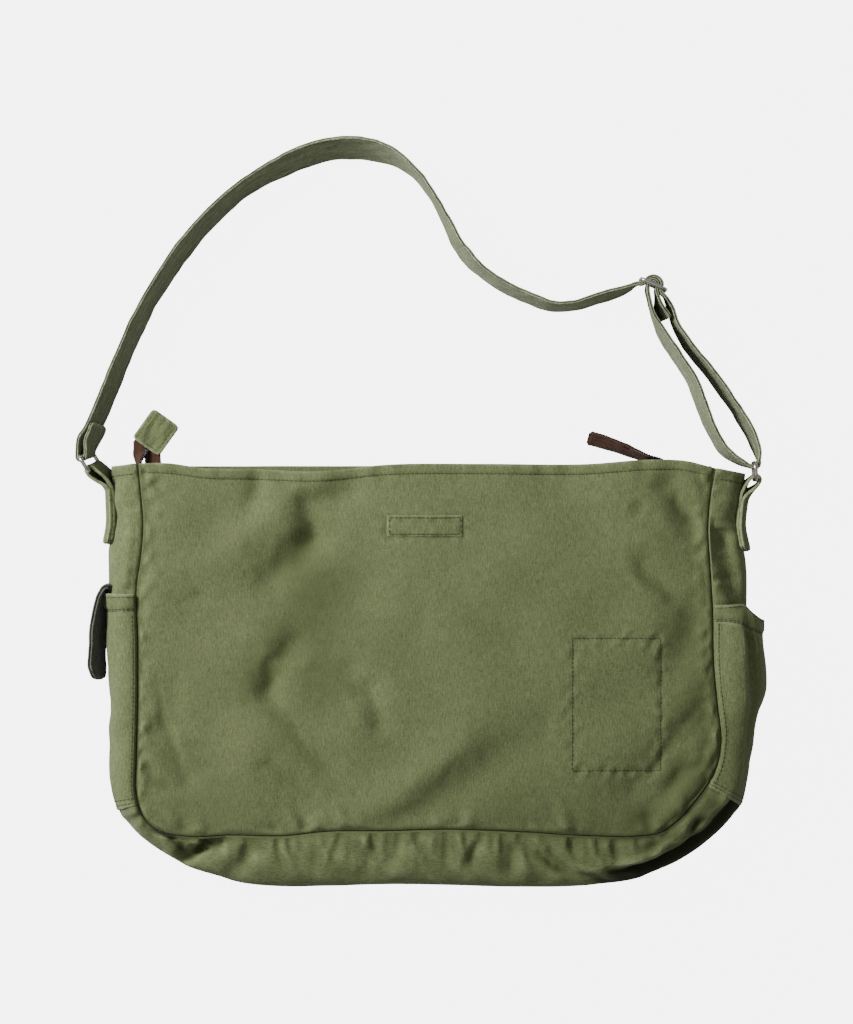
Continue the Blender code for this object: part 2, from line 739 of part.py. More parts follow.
def build_band(material):
    left, base, right = seam_stations()
    left[-1] -= CLEARANCE
    right[0] += CLEARANCE
    base[0] += CLEARANCE
    base[-1] -= CLEARANCE
    last = len(right) - 1
    build_band_piece("side_gusset_left", left, material, hem_rows=(0, 1))
    build_band_piece("side_gusset_right", right, material, hem_rows=(last - 1, last))
    build_band_piece("base_panel", base, material)


# What is sewn to the gussets


def over_gusset(side, at, steps, off):
    """Places on a gusset's faceted surface moved outwards by the distance off, which may differ from
    place to place. at is along the seam, and steps counts the gusset's steps from the front seam."""
    left, _, right = seam_stations()
    stations = (left, right)[side]
    surface = band_surface(stations, np.linspace(90.0, -90.0, BAND_STEPS + 1))
    row = np.interp(at, stations, np.arange(len(stations)))[:, None]
    column = np.asarray(steps, float)[None]
    i = np.clip(row.astype(int), 0, len(stations) - 2)
    j = np.clip(column.astype(int), 0, BAND_STEPS - 1)
    u, v = (row - i)[..., None], (column - j)[..., None]
    place = (
        (1 - u) * (1 - v) * surface[i, j]
        + (1 - u) * v * surface[i, j + 1]
        + u * (1 - v) * surface[i + 1, j]
        + u * v * surface[i + 1, j + 1]
    )
    normals = unit(np.cross(np.gradient(place, axis=1), np.gradient(place, axis=0)))
    return place + normals * np.sign(at[-1] - at[0]) * off[..., None]


def build_pocket(name, side, material):
    """A patch pocket that lies on the gusset along its edges and stands off it at its mouth."""
    mouth, foot = side_at(side, [POCKETS["mouth"][side], POCKETS["foot"][side]])
    left, _, right = seam_stations()
    between = (left, right[::-1])[side]
    way = np.sign(foot - mouth)
    hem = mouth + way * POCKET_HEM_DEPTH
    apart = POCKET_HEM_DEPTH / 3
    inside = ((between - hem) * way > apart) & ((foot - between) * way > apart)
    at = np.concatenate([[mouth, hem], between[inside], [foot]])
    down = ((at - mouth) / (foot - mouth))[:, None]
    steps = np.arange(POCKET_STEPS + 1)
    bulge = np.sin(np.pi * steps / POCKET_STEPS)[None] ** 0.8
    off = CANVAS + CLEARANCE + POCKET_PUFF[side] * bulge * (1 - smoothstep(down * 1.05))
    off[:2] += POCKET_HEM - CANVAS
    rows = over_gusset(side, at, steps, off)
    rows[..., 1] -= POCKETS["drop"][side] * PANEL_HEIGHT / 2 * bulge**2 * (1 - down) ** 2
    rows[..., 2] = np.maximum(rows[..., 2], CLEARANCE)
    points, faces = grid(rows)
    if side == 1:
        faces = flipped(faces)
    thin = range(2 * rows.shape[1], len(points))
    return cloth(name, points, faces, POCKET_HEM, material, thin=thin)


def section_spline(rows, step, keep=()):
    """Rows of points put on smooth lines through the rows given, at most step apart. keep lists the
    stretches between rows that are left as they are."""
    run = distances(rows[:, rows.shape[1] // 2])
    at = [0.0]
    for i, (a, b) in enumerate(zip(run[:-1], run[1:])):
        parts = 1 if i in keep else max(1, math.ceil((b - a) / step))
        at.extend(a + (b - a) * (k + 1) / parts for k in range(parts))
    return spline(run, rows, at)


def ribbon(middle, upright, width, shares):
    """Rows of points across a band of cloth from its middle line and the direction of its width."""
    return middle[:, None] + upright[:, None] * (np.asarray(shares)[None, :, None] * width)


def turn_round(centre, axis, radius, start, end):
    """Points round a bar from one angle in plan to another, in steps of TURN_STEP at most."""
    steps = max(1, round(abs(end - start) / TURN_STEP))
    angles = np.radians(np.linspace(start, end, steps + 1))
    first = unit(np.array([1.0, 0.0, 0.0]) - axis[0] * axis)
    second = np.cross(axis, first)
    return centre + radius * (np.cos(angles)[:, None] * first + np.sin(angles)[:, None] * second)


class Frame:
    """A metal frame of two or three upright bars: where its middle is, the way in plan from its first
    bar to its last, and the direction of the bars."""

    def __init__(self, middle, turn, lean, spacing):
        self.middle = np.array([*middle, METAL_HEIGHT])
        self.turn = turn
        self.way = plan_way(turn)
        left = plan_way(turn + 90)
        self.axis = math.cos(math.radians(lean)) * UP + math.sin(math.radians(lean)) * left
        self.spacing = spacing

    def bar(self, place):
        """Middle of the bar at a place from -1 (first) to 1 (last)."""
        return self.middle + self.way * place * self.spacing / 2

    def outline(self):
        """Rounded rectangle through the middle of the frame's wire."""
        half_long = self.spacing / 2
        half_high = BAR_HALF
        points = []
        for corner, (x, y) in enumerate(((1, 1), (-1, 1), (-1, -1), (1, -1))):
            for step in range(4):
                angle = math.radians(90 * corner + 30 * step)
                along = x * (half_long - WIRE_CORNER) + math.cos(angle) * WIRE_CORNER
                high = y * (half_high - WIRE_CORNER) + math.sin(angle) * WIRE_CORNER
                points.append(self.middle + self.way * along + self.axis * high)
        return points


BAR_HALF = STRAP_WIDTH / 2 + WIRE_CORNER / 2 + WIRE / 2
STRAP_TURN = WIRE / 2 + BAR_CLEARANCE + STRAP_THICKNESS / 2
STRAP_OUTER_TURN = STRAP_TURN + STRAP_THICKNESS + BAR_CLEARANCE
TAB_TURN = WIRE / 2 + BAR_CLEARANCE + TAB_THICKNESS / 2

RING = [
    Frame(panel_point(RINGS["x"][i], RINGS["y"][i]), RINGS["turn"][i], RINGS["lean"][i], RING_SPACING)
    for i in range(2)
]


def strap_place(along, up):
    """A place in plan in the shares that the strap's tables use."""
    left, right = RING[0].middle, RING[1].middle
    x = left[0] + np.asarray(along) * (right[0] - left[0])
    return np.stack([x, left[1] + np.asarray(up) * STRAP_RISE], axis=-1)


def arc_place(along, up):
    """A place in plan along the strap's arc, from the left ring to the slider."""
    way = SLIDER.middle[:2] - RING[0].middle[:2]
    plan = RING[0].middle[:2] + np.asarray(along)[:, None] * way
    return plan + np.asarray(up)[:, None] * (0.0, STRAP_RISE)


def leg_place(down, aside):
    """A place in plan between the slider and the right ring."""
    way = RING[1].middle[:2] - SLIDER.middle[:2]
    left = np.array([-way[1], way[0]])
    return SLIDER.middle[:2] + np.asarray(down)[:, None] * way + np.asarray(aside)[:, None] * left


SLIDER = Frame(
    strap_place(SLIDER_ALONG, SLIDER_UP), SLIDER_TURN, 0.0, 2 * (STRAP_TURN + STRAP_OUTER_TURN)
)


def build_tab(name, side, material):
    """The doubled tab that is sewn flat to the gusset and wrapped round its ring's lower bar."""
    ring = RING[side]
    top = RINGS["tab_top"][side]
    foot = top - TAB_SEWN / (PANEL_HEIGHT / 2)
    steps = BAND_STEPS / 2 + np.array([-TAB_SPREAD, -1.0, 0.0, 1.0, TAB_SPREAD])
    shares = (BAND_STEPS / 2 - steps) / (2 * TAB_SPREAD)
    at = side_at(side, np.linspace(foot, top, 6))
    off = np.full((len(at), len(shares)), 2 * CLEARANCE + TAB_THICKNESS / 2)
    inner = over_gusset(side, at, steps, off)
    outer = over_gusset(side, at, steps, off + 2 * CLEARANCE + TAB_THICKNESS)[::-1]
    bar = ring.bar(-1)
    way = bar - inner[-1].mean(axis=0)
    heading = math.degrees(math.atan2(way[1], way[0]))
    turned = (90.0, -90.0) if side == 1 else (-90.0, 90.0)
    loop = turn_round(bar, ring.axis, TAB_TURN, heading + turned[0], heading + turned[1])
    looped = ribbon(loop, np.tile(ring.axis, (len(loop), 1)), TAB_WIDTH, shares)
    rows = np.concatenate([inner, looped, outer])
    turn = range(len(inner), len(inner) + len(loop) - 1)
    points, faces = grid(section_spline(rows, TAB_SEWN / 4, keep=turn))
    return cloth(name, points, faces, TAB_THICKNESS, material, offset=0.0)


def build_flap(material):
    """The left pocket's flap: it comes up from the gusset over the pocket's mouth and hangs down
    outside it, its upper edge tipped outwards."""
    mouth = POCKETS["mouth"][0]
    at = side_at(0, [mouth, mouth - 0.1])
    start = over_gusset(0, at, (BAND_STEPS / 2, BAND_STEPS / 2 + 1), np.zeros((2, 2)))[0, 0]
    middle = np.column_stack(
        [
            start[0] - FLAP["out"] * FLAP_REACH,
            start[1] - FLAP["down"] * FLAP_LENGTH,
            np.full(len(FLAP["out"]), FLAP_HEIGHT),
        ]
    )
    lean = np.radians(FLAP["lean"])[:, None]
    upright = np.cos(lean) * UP - np.sin(lean) * np.array([1.0, 0.0, 0.0])
    rows = ribbon(middle, upright, FLAP_WIDTH, (-0.5, 0.0, 0.5))
    points, faces = grid(section_spline(rows, FLAP_LENGTH / 7, keep=(1, 2, 3)))
    return cloth("pocket_flap", points, faces, FLAP_THICKNESS, material, offset=0.0)


def strap_stretch(plan, lean, bars):
    """Middle and upright direction of the strap along a free stretch. It stands on its edge on the
    floor and rises to the metal near each bar."""
    way = unit(np.gradient(plan, axis=0))
    left = np.column_stack([-way[:, 1], way[:, 0], np.zeros(len(way))])
    lean = np.radians(lean)[:, None]
    upright = np.cos(lean) * UP + np.sin(lean) * left
    resting = (
        STRAP_WIDTH / 2 * np.cos(lean[:, 0])
        + STRAP_THICKNESS / 2 * np.abs(np.sin(lean[:, 0]))
        + CLEARANCE
    )
    away = np.min([np.hypot(*(plan - bar[:2]).T) for bar in bars], axis=0)
    near = np.exp(-((away / RISE_LENGTH) ** 2))
    height = resting + np.maximum(METAL_HEIGHT - resting, 0.0) * near
    return np.column_stack([plan, height]), upright


def build_strap(material):
    """One length of folded canvas: sewn back on itself round the left ring, over the arc, round the
    slider's middle bar, down through the right ring and back up to the middle bar inside the first
    turn."""
    bars = [RING[0].bar(1), RING[1].bar(1), SLIDER.middle]
    middles = []
    uprights = []
    kept = []

    def free(rows, place):
        first, second, lean = rows.values()
        middle, upright = strap_stretch(place(first, second), lean, bars)
        middles.append(middle)
        uprights.append(upright)

    def turn(centre, axis, radius, start, end):
        first = sum(len(m) for m in middles)
        points = turn_round(centre, axis, radius, start, end)
        if middles and np.linalg.norm(middles[-1][-1] - points[0]) < 1e-6:
            points = points[1:]
            first -= 1
        middles.append(points)
        uprights.append(np.tile(axis, (len(points), 1)))
        kept.extend(range(first, sum(len(m) for m in middles) - 1))

    free(SEWN_END, strap_place)
    turn(RING[0].bar(1), RING[0].axis, STRAP_TURN, *SEWN_TURN)
    free(ARC, arc_place)
    way = SLIDER.turn
    turn(SLIDER.bar(-1), UP, STRAP_TURN, way - 90, way)
    turn(SLIDER.middle, UP, STRAP_OUTER_TURN, way + 180, way)
    turn(SLIDER.bar(1), UP, STRAP_TURN, way + 180, way + 270)
    free(OUTER_LEG, leg_place)
    turn(RING[1].bar(1), RING[1].axis, STRAP_TURN, *OUTER_TURN)
    free(INNER_LEG, leg_place)
    turn(SLIDER.middle, UP, STRAP_TURN, way + TAIL_TURN[0], way + TAIL_TURN[1])
    free(TAIL, leg_place)
    rows = ribbon(np.concatenate(middles), np.concatenate(uprights), STRAP_WIDTH, (-0.5, 0.0, 0.5))
    rows = section_spline(rows, STRAP_STEP, keep=kept)[:, [0, 2]]
    points, faces = grid(rows)
    return cloth("strap", points, faces, STRAP_THICKNESS, material, offset=0.0)


def build_slider(material):
    """The slider: a wire frame with a round bar across its middle, joined at both ends."""
    frame = closed_wire("slider", SLIDER.outline(), material)
    bpy.ops.mesh.primitive_cylinder_add(
        vertices=WIRE_SIDES, radius=WIRE / 2, depth=2 * BAR_HALF, location=tuple(SLIDER.middle)
    )
    bar = bpy.context.object
    bar.name = "middle_bar"
    for collection in list(bar.users_collection):
        collection.objects.unlink(bar)
    HELPERS.objects.link(bar)
    bar.data.materials.append(material)
    bar.hide_render = True
    bar.display_type = "WIRE"
    joined = frame.modifiers.new("middle_bar", "BOOLEAN")
    joined.operation = "UNION"
    joined.solver = "EXACT"
    joined.object = bar
    return frame


# The zip, open along the mouth


def zip_rows(rows, side):
    """The two edges of a tape along a table's stretch, the sewn edge first. side is 1 where the teeth
    lie on the left of its way and -1 where they lie on its right."""
    middle = np.column_stack([panel_point(rows["x"], rows["y"]), rows["height"] * SEAM_HEIGHT])
    way = unit(np.gradient(middle, axis=0))
    left = unit(np.column_stack([-way[:, 1], way[:, 0], np.zeros(len(way))]))
    roll = np.radians(rows["roll"])[:, None]
    return ribbon(middle, np.cos(roll) * left * side + np.sin(roll) * UP, TAPE_WIDTH, (-0.5, 0.5))


def front_tape_rows():
    """The front tape: from the closed end in under the front hem, along it, and out again at the right
    as a loose end."""
    patch = front_surface()
    columns = slice(4, patch.shape[1] - 5)
    rim = patch[0, columns]
    inwards = unit(patch[4, columns] - rim)
    below = np.cross(unit(np.gradient(rim, axis=0)), inwards)
    sewn = rim + inwards * HEM_DEPTH / 4 + below * (HEM_THICKNESS + TAPE_DROP)
    along = np.stack([sewn, sewn + inwards * TAPE_WIDTH], axis=1)
    return np.concatenate(
        [zip_rows(ZIP_CLOSED_FRONT, -1), along[2::3], zip_rows(ZIP_LOOSE_END, -1)]
    )


def back_tape_rows():
    """The back tape: from the closed end in over the back hem and along it to the right corner."""
    ends = panel_point(SEAM["x"][[0, -1]], SEAM["y"][[0, -1]])
    share = np.linspace(0.09, 0.95, 9)[:, None]
    plan = ends[0] + share * (ends[1] - ends[0])
    height = np.full((len(plan), 1), HEM_THICKNESS + 4 * CLEARANCE + TEETH_THICKNESS / 2)
    sewn = np.column_stack([plan - (0.0, HEM_DEPTH / 4), height])
    along = np.stack([sewn, sewn - (0.0, TAPE_WIDTH, 0.0)], axis=1)
    return np.concatenate([zip_rows(ZIP_CLOSED_BACK, 1), along])


def build_zip(name, rows, tape_material, teeth_material):
    """One half of the zip: its tape, and its teeth along the tape's free edge."""
    rows = section_spline(rows, 2 * TAPE_WIDTH)
    points, faces = grid(rows)
    cloth("zip_tape_" + name, points, faces, TAPE_THICKNESS, tape_material, offset=0.0)
    outwards = unit(rows[:, 1] - rows[:, 0])
    near = rows[:, 1] + outwards * 2 * CLEARANCE
    points, faces = grid(np.stack([near, near + outwards * TEETH_WIDTH], axis=1))
    cloth("zip_teeth_" + name, points, faces, TEETH_THICKNESS, teeth_material, offset=0.0)


def build_zip_tab(material):
    """The square canvas tab over the zip's closed end."""
    below = ZIP_CLOSED_FRONT["height"][0] * SEAM_HEIGHT + TEETH_THICKNESS / 2
    middle = np.array([*panel_point(*ZIP_TAB_MIDDLE), below + CLEARANCE + ZIP_TAB_THICKNESS / 2])
    way = plan_way(ZIP_TAB_TURN)
    across = plan_way(ZIP_TAB_TURN + 90)
    line = middle + np.array([-0.5, 0.0, 0.5])[:, None] * way * ZIP_TAB_SIDE
    rows = ribbon(line, np.tile(across, (3, 1)), ZIP_TAB_SIDE, (-0.5, 0.0, 0.5))
    points, faces = grid(rows)
    return cloth("zip_end_tab", points, faces, ZIP_TAB_THICKNESS, material, offset=0.0)


for leftover in list(bpy.data.objects):
    bpy.data.objects.remove(leftover, do_unlink=True)
BAG = bpy.data.collections.new("canvas_shoulder_bag")
HELPERS = bpy.data.collections.new("helpers")
for collection in (BAG, HELPERS):
    bpy.context.scene.collection.children.link(collection)

canvas = make_material("canvas_olive", OLIVE, 0.9)
dark_canvas = make_material("canvas_charcoal", CHARCOAL, 0.95)
tape = make_material("zip_tape_brown", BROWN, 0.85)
teeth = make_material("zip_teeth_black", BLACK, 0.5)
metal = make_material("metal_nickel", NICKEL, 0.25, metallic=1.0)

build_front_panel(canvas)
build_back_panel(canvas)
build_band(canvas)
build_pocket("side_pocket_left", 0, canvas)
build_pocket("side_pocket_right", 1, canvas)
build_flap(dark_canvas)
build_tab("tab_left", 0, canvas)
build_tab("tab_right", 1, canvas)
closed_wire("ring_left", RING[0].outline(), metal)
closed_wire("ring_right", RING[1].outline(), metal)
build_strap(canvas)
build_slider(metal)
build_zip("front", front_tape_rows(), tape, teeth)
build_zip("back", back_tape_rows(), tape, teeth)
build_zip_tab(canvas)
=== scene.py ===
"""Looks of a washed canvas shoulder bag that lies on its back, its strap laid out above the mouth.

X runs across the bag, Y from the base to the mouth and on to the strap, and Z up from the surface
that the bag lies on. Lengths are in metres.
"""

import math

import bpy
import numpy as np
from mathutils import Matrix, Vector
from mathutils.bvhtree import BVHTree


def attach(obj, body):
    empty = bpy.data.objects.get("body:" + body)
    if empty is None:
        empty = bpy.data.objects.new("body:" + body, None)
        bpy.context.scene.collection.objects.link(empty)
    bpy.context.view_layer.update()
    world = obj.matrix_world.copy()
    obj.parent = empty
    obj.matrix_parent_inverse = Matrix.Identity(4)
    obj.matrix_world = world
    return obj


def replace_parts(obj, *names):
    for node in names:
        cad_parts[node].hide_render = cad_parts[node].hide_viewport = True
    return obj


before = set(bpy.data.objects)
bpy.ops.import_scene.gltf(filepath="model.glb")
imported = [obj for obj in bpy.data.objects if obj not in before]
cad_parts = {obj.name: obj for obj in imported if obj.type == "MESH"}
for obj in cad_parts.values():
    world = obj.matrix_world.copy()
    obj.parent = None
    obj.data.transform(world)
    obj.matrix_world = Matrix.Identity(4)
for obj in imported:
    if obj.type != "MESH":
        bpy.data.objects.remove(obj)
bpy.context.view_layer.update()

# The bag's body
PANEL_WIDTH = 0.450       # front panel between the side seams
PANEL_HEIGHT = 0.286      # front panel from the mouth to the base seam
SEAM_HEIGHT = 0.040       # side seams above the floor
CROWN = 0.009             # middle of the front panel above its seams
SIDE_BULGE = 0.030        # reach of a side gusset past its seam
BASE_BULGE = 0.044        # reach of the base panel past its seam
CANVAS = 0.0016           # one layer of canvas
HEM_THICKNESS = 0.0030    # turned hem round the mouth
HEM_DEPTH = 0.0080
SEAM_ALLOWANCE = 0.0040   # cloth turned inside at a seam
CLEARANCE = 0.0004        # gap kept between two pieces that touch
FOLD_DEPTH = 0.0065
FOLD_WIDTH = 0.0120
FOLD_FADE = 0.0160        # distance from a seam over which the front panel's folds fade out
GATHER_DEPTH = 0.0035
GATHER_WIDTH = 0.0075
GATHER_FADE = 0.0100      # distance over which the gathers start below the base seam

# The side pockets and the flap of the left one
POCKET_PUFF = (0.002, 0.0135)  # how far the left and right pocket's mouth stands off its gusset
POCKET_HEM = 0.0028
FLAP_WIDTH = 0.032
FLAP_THICKNESS = 0.0030
FLAP_LENGTH = 0.0636       # how far the flap hangs below the pocket's mouth
FLAP_REACH = 0.0138        # how far it stands off the gusset
FLAP_HEIGHT = 0.0200       # its middle above the floor

# The strap and its metal
STRAP_WIDTH = 0.030
STRAP_THICKNESS = 0.0026
STRAP_RISE = 0.2454       # top of the strap's arc above the left ring
WIRE = 0.0032             # thickness of the rings' and the slider's wire
BAR_CLEARANCE = 0.0006    # between a bar and the cloth wrapped round it
WIRE_CORNER = 0.0042      # rounding of a ring's and the slider's corners
RING_SPACING = 0.0130     # between a ring's two bars
METAL_HEIGHT = 0.0206     # middle of the rings and of the slider above the floor
RISE_LENGTH = 0.026       # distance from a bar within which the strap rises to it
TAB_WIDTH = 0.0285
TAB_SPREAD = 1.55         # steps of the gusset on each side of its middle that a tab covers
TAB_THICKNESS = 0.0022
TAB_SEWN = 0.044          # stretch of a tab that is sewn to its gusset

# The zip
TAPE_WIDTH = 0.0110       # one half of the zip's tape
TAPE_THICKNESS = 0.0010
TAPE_DROP = 0.0060        # from the front hem's inner side to its tape
TEETH_THICKNESS = 0.0020
ZIP_TAB_THICKNESS = 0.0030

TURN_STEP = 30.0          # degrees between the sections of cloth wrapped round a bar
BASE_COLUMNS = 34         # sections along the base seam
BAND_STEPS = 6            # steps round a gusset from its front seam to its back one
BAND_ROUNDNESS = 2.3      # 2 is an ellipse, more is boxier
UP = np.array([0.0, 0.0, 1.0])


def table(columns, rows):
    """A table with named columns, each an array."""
    values = np.array(rows, float)
    return {name: values[:, i] for i, name in enumerate(columns)}


# The seam round the front panel, from the mouth's left corner round the base to the mouth's right
# corner. x and y are shares of half the panel's width and height, height is a share of SEAM_HEIGHT.
# The gusset's reach past the seam is side x SIDE_BULGE + base x BASE_BULGE.
SEAM = table(("x", "y", "side", "base", "height"), [
    (-1.000, 1.010, 0.70, 0.00, 0.86), (-0.990, 0.860, 0.77, 0.00, 0.92),
    (-0.981, 0.670, 0.82, 0.00, 0.97), (-0.988, 0.510, 0.88, 0.00, 1.00),
    (-1.003, 0.346, 0.76, 0.00, 0.99), (-1.000, 0.050, 0.70, 0.00, 1.00),
    (-1.000, -0.280, 0.68, 0.00, 1.00), (-1.005, -0.610, 0.62, 0.00, 0.98),
    (-1.007, -0.770, 0.52, 0.03, 0.94), (-0.994, -0.869, 0.28, 0.15, 0.90),
    (-0.962, -0.951, 0.10, 0.22, 0.87), (-0.912, -1.000, 0.00, 0.33, 0.86),
    (-0.825, -1.024, 0.00, 0.54, 0.87), (-0.681, -1.016, 0.00, 0.82, 0.90),
    (-0.497, -1.020, 0.00, 0.92, 0.93), (-0.340, -0.995, 0.00, 0.99, 0.95),
    (-0.144, -0.992, 0.00, 0.97, 0.97), (0.081, -0.984, 0.00, 1.01, 0.97),
    (0.320, -0.997, 0.00, 1.00, 0.96), (0.577, -1.020, 0.00, 0.89, 0.93),
    (0.730, -1.022, 0.00, 0.75, 0.91), (0.813, -1.000, 0.00, 0.61, 0.90),
    (0.868, -0.940, 0.00, 0.63, 0.90), (0.925, -0.842, 0.10, 0.62, 0.91),
    (0.972, -0.744, 0.45, 0.38, 0.93), (1.006, -0.635, 0.74, 0.06, 0.95),
    (1.019, -0.500, 0.75, 0.00, 0.97), (1.007, -0.308, 0.82, 0.00, 1.00),
    (0.994, -0.090, 0.88, 0.00, 1.00), (0.990, 0.210, 0.92, 0.00, 1.00),
    (0.981, 0.450, 0.97, 0.00, 1.00), (0.974, 0.673, 0.84, 0.00, 0.97),
    (0.986, 0.864, 0.84, 0.00, 0.92), (1.000, 0.985, 0.81, 0.00, 0.86),
])
LEFT_JOIN = 9     # rows of SEAM where a side gusset meets the base panel
RIGHT_JOIN = 24

# The front panel's hem edge. along is the share from left to right, rise a share of HEM_DEPTH above
# the straight line between the mouth's corners, sag a share of SEAM_HEIGHT below it.
RIM = table(("along", "rise", "sag"), [
    (0.00, 0.00, 0.00), (0.05, 0.02, 0.04), (0.11, -0.42, 0.12), (0.20, -0.50, 0.20),
    (0.31, -0.66, 0.28), (0.43, 0.04, 0.22), (0.60, 0.20, 0.16), (0.78, 0.26, 0.12),
    (0.90, 0.74, 0.02), (0.95, 0.66, 0.02), (1.00, 0.00, 0.00),
])

# Soft folds of the front panel and the gussets, from a start to an end point given as shares of
# half the panel's width and height. A negative depth is a groove and a positive one a ridge, in
# shares of FOLD_DEPTH; width is in shares of FOLD_WIDTH.
FOLDS = table(("x0", "y0", "x1", "y1", "depth", "width"), [
    (-0.262, 0.837, -0.425, 0.771, -0.75, 1.00), (-0.410, 0.780, -0.390, 0.591, -0.85, 0.85),
    (-0.390, 0.591, -0.542, 0.384, -0.80, 1.00), (-0.588, 0.913, -0.605, 0.766, -0.55, 0.80),
    (-0.640, 0.620, -0.352, 0.929, 0.55, 1.10), (-0.924, 0.346, -0.490, 0.689, 0.50, 1.50),
    (-0.463, 0.025, -0.542, -0.226, -0.85, 0.95), (-0.542, -0.226, -0.341, -0.619, -0.60, 0.95),
    (-0.553, -0.651, -0.393, -0.891, -0.60, 0.80), (-0.189, -0.226, -0.158, -0.400, -0.80, 0.80),
    (-0.265, -0.128, -0.244, -0.248, -0.45, 0.80), (-0.168, -0.918, 0.133, -0.553, 0.70, 1.30),
    (-0.106, -0.950, 0.324, -0.515, -0.65, 1.50), (-0.882, -0.215, -0.879, -0.400, -0.45, 0.80),
    (-0.917, -0.450, -0.823, -0.695, -0.70, 0.80), (0.837, 0.875, 0.969, 0.591, -1.00, 0.85),
    (0.757, 0.450, 0.906, 0.232, -0.75, 0.90), (0.945, 0.139, 0.834, -0.172, -0.75, 1.10),
    (0.965, -0.411, 0.740, -0.760, -0.75, 1.20), (0.875, -0.727, 0.782, -0.924, -0.65, 0.90),
    (0.970, -0.564, 0.865, -0.870, 0.55, 0.90), (0.300, 0.800, 0.700, 0.620, -0.35, 2.00),
    (0.050, 0.250, 0.420, 0.500, 0.45, 3.00), (1.030, 0.600, 1.085, 0.264, -0.95, 0.60),
    (-1.045, 0.560, -1.060, 0.380, 0.35, 0.80),
])

# Gathers of the base panel below its seam. at is a share of half the panel's width, lean a share
# of the gather's length that its foot is shifted by, length a share of BASE_BULGE and depth one of
# GATHER_DEPTH.
GATHERS = table(("at", "lean", "length", "depth"), [
    (-0.540, -0.90, 0.75, 1.00), (-0.265, 0.05, 0.45, 0.55), (-0.165, -0.35, 0.80, 1.00),
    (-0.075, -0.55, 0.70, 0.70), (0.070, 0.05, 0.55, 0.80), (0.185, -0.30, 0.55, 0.70),
    (0.300, 0.00, 0.60, 1.00), (0.395, 0.25, 0.35, 0.70), (0.495, 0.00, 0.50, 0.60),
    (0.655, 0.10, 0.50, 0.60), (0.780, 0.20, 0.55, 0.70),
])

# The tuck at the base's left corner and the crease at its right, in the same columns as FOLDS
CORNER_TUCKS = table(("x0", "y0", "x1", "y1", "depth", "width"), [
    (-0.700, -1.020, -0.835, -1.140, -1.30, 0.55), (0.400, -1.060, 0.700, -1.260, 0.30, 0.45),
])

# The side pockets, left then right: mouth and foot are shares of half the panel's height, drop is
# how far the middle of the mouth lies below its ends, in the same shares.
POCKETS = table(("mouth", "foot", "drop"), [
    (0.297, -0.850, 0.00), (0.237, -0.745, 0.09),
])
POCKET_HEM_DEPTH = 0.0110
POCKET_STEPS = 5          # of the gusset's steps that a pocket covers, from the front seam

# The flap over the left pocket. out is a share of FLAP_REACH from the gusset, down a share of
# FLAP_LENGTH below the pocket's mouth, lean the degrees that its upper edge tips outwards.
FLAP = table(("out", "down", "lean"), [
    (0.145, -0.020, 0.0), (0.150, -0.055, 0.0), (0.270, -0.092, 0.0), (0.470, -0.080, 4.0),
    (0.625, -0.020, 8.0), (0.745, 0.110, 12.0), (0.880, 0.344, 17.0), (0.970, 0.626, 18.0),
    (1.000, 0.834, 18.0), (0.900, 1.000, 17.0),
])

# The rings, left then right: x and y of the middle are shares of half the panel's width and
# height, turn is the way in plan from the tab's bar to the strap's in degrees, lean the degrees
# that a ring's upper side tips to the left of that way, tab_top where its tab leaves the gusset.
RINGS = table(("x", "y", "turn", "lean", "tab_top"), [
    (-1.169, 1.023, 122.0, 14.0, 0.864), (1.140, 0.967, 93.5, 0.0, 0.826),
])

# The strap's free stretches in the order that it runs. along is a share of the distance between the
# rings' middles from the left one, up a share of STRAP_RISE above it, lean the degrees that the
# strap's upper edge tips to the left of its way.
STRAP_COLUMNS = ("along", "up", "lean")
SEWN_END = table(STRAP_COLUMNS, [
    (0.0143, 0.1176, -20.0), (0.0092, 0.0912, -20.0), (0.0023, 0.0588, -18.0),
])
# along is the share of the way from the left ring to the slider, up a share of STRAP_RISE above the
# straight line between them.
ARC = table(STRAP_COLUMNS, [
    (-0.0118, 0.0622, 18.0), (0.0034, 0.0982, 20.0), (0.0176, 0.1443, 22.0), (0.0391, 0.2283, 22.0),
    (0.0666, 0.3336, 21.0), (0.0982, 0.4329, 20.5), (0.1300, 0.5111, 21.5), (0.1676, 0.5860, 22.5),
    (0.2092, 0.6506, 22.0), (0.2645, 0.7106, 21.5), (0.2960, 0.7319, 23.0), (0.3476, 0.7510, 28.5),
    (0.4010, 0.7590, 31.0), (0.4563, 0.7440, 31.5), (0.5037, 0.7094, 28.0), (0.5507, 0.6480, 17.0),
    (0.5727, 0.6057, 11.0), (0.5956, 0.5469, 8.5), (0.6154, 0.4797, 7.5), (0.6353, 0.4006, 10.5),
    (0.6553, 0.3204, 14.0), (0.6806, 0.2482, 14.5), (0.7113, 0.1860, 13.0), (0.7474, 0.1277, 12.5),
    (0.7836, 0.0774, 14.0), (0.8179, 0.0371, 12.0), (0.8379, 0.0219, 10.5), (0.8652, 0.0116, 11.0),
    (0.8921, 0.0125, 12.0), (0.9318, 0.0113, 12.0), (0.9576, 0.0148, 7.0),
])

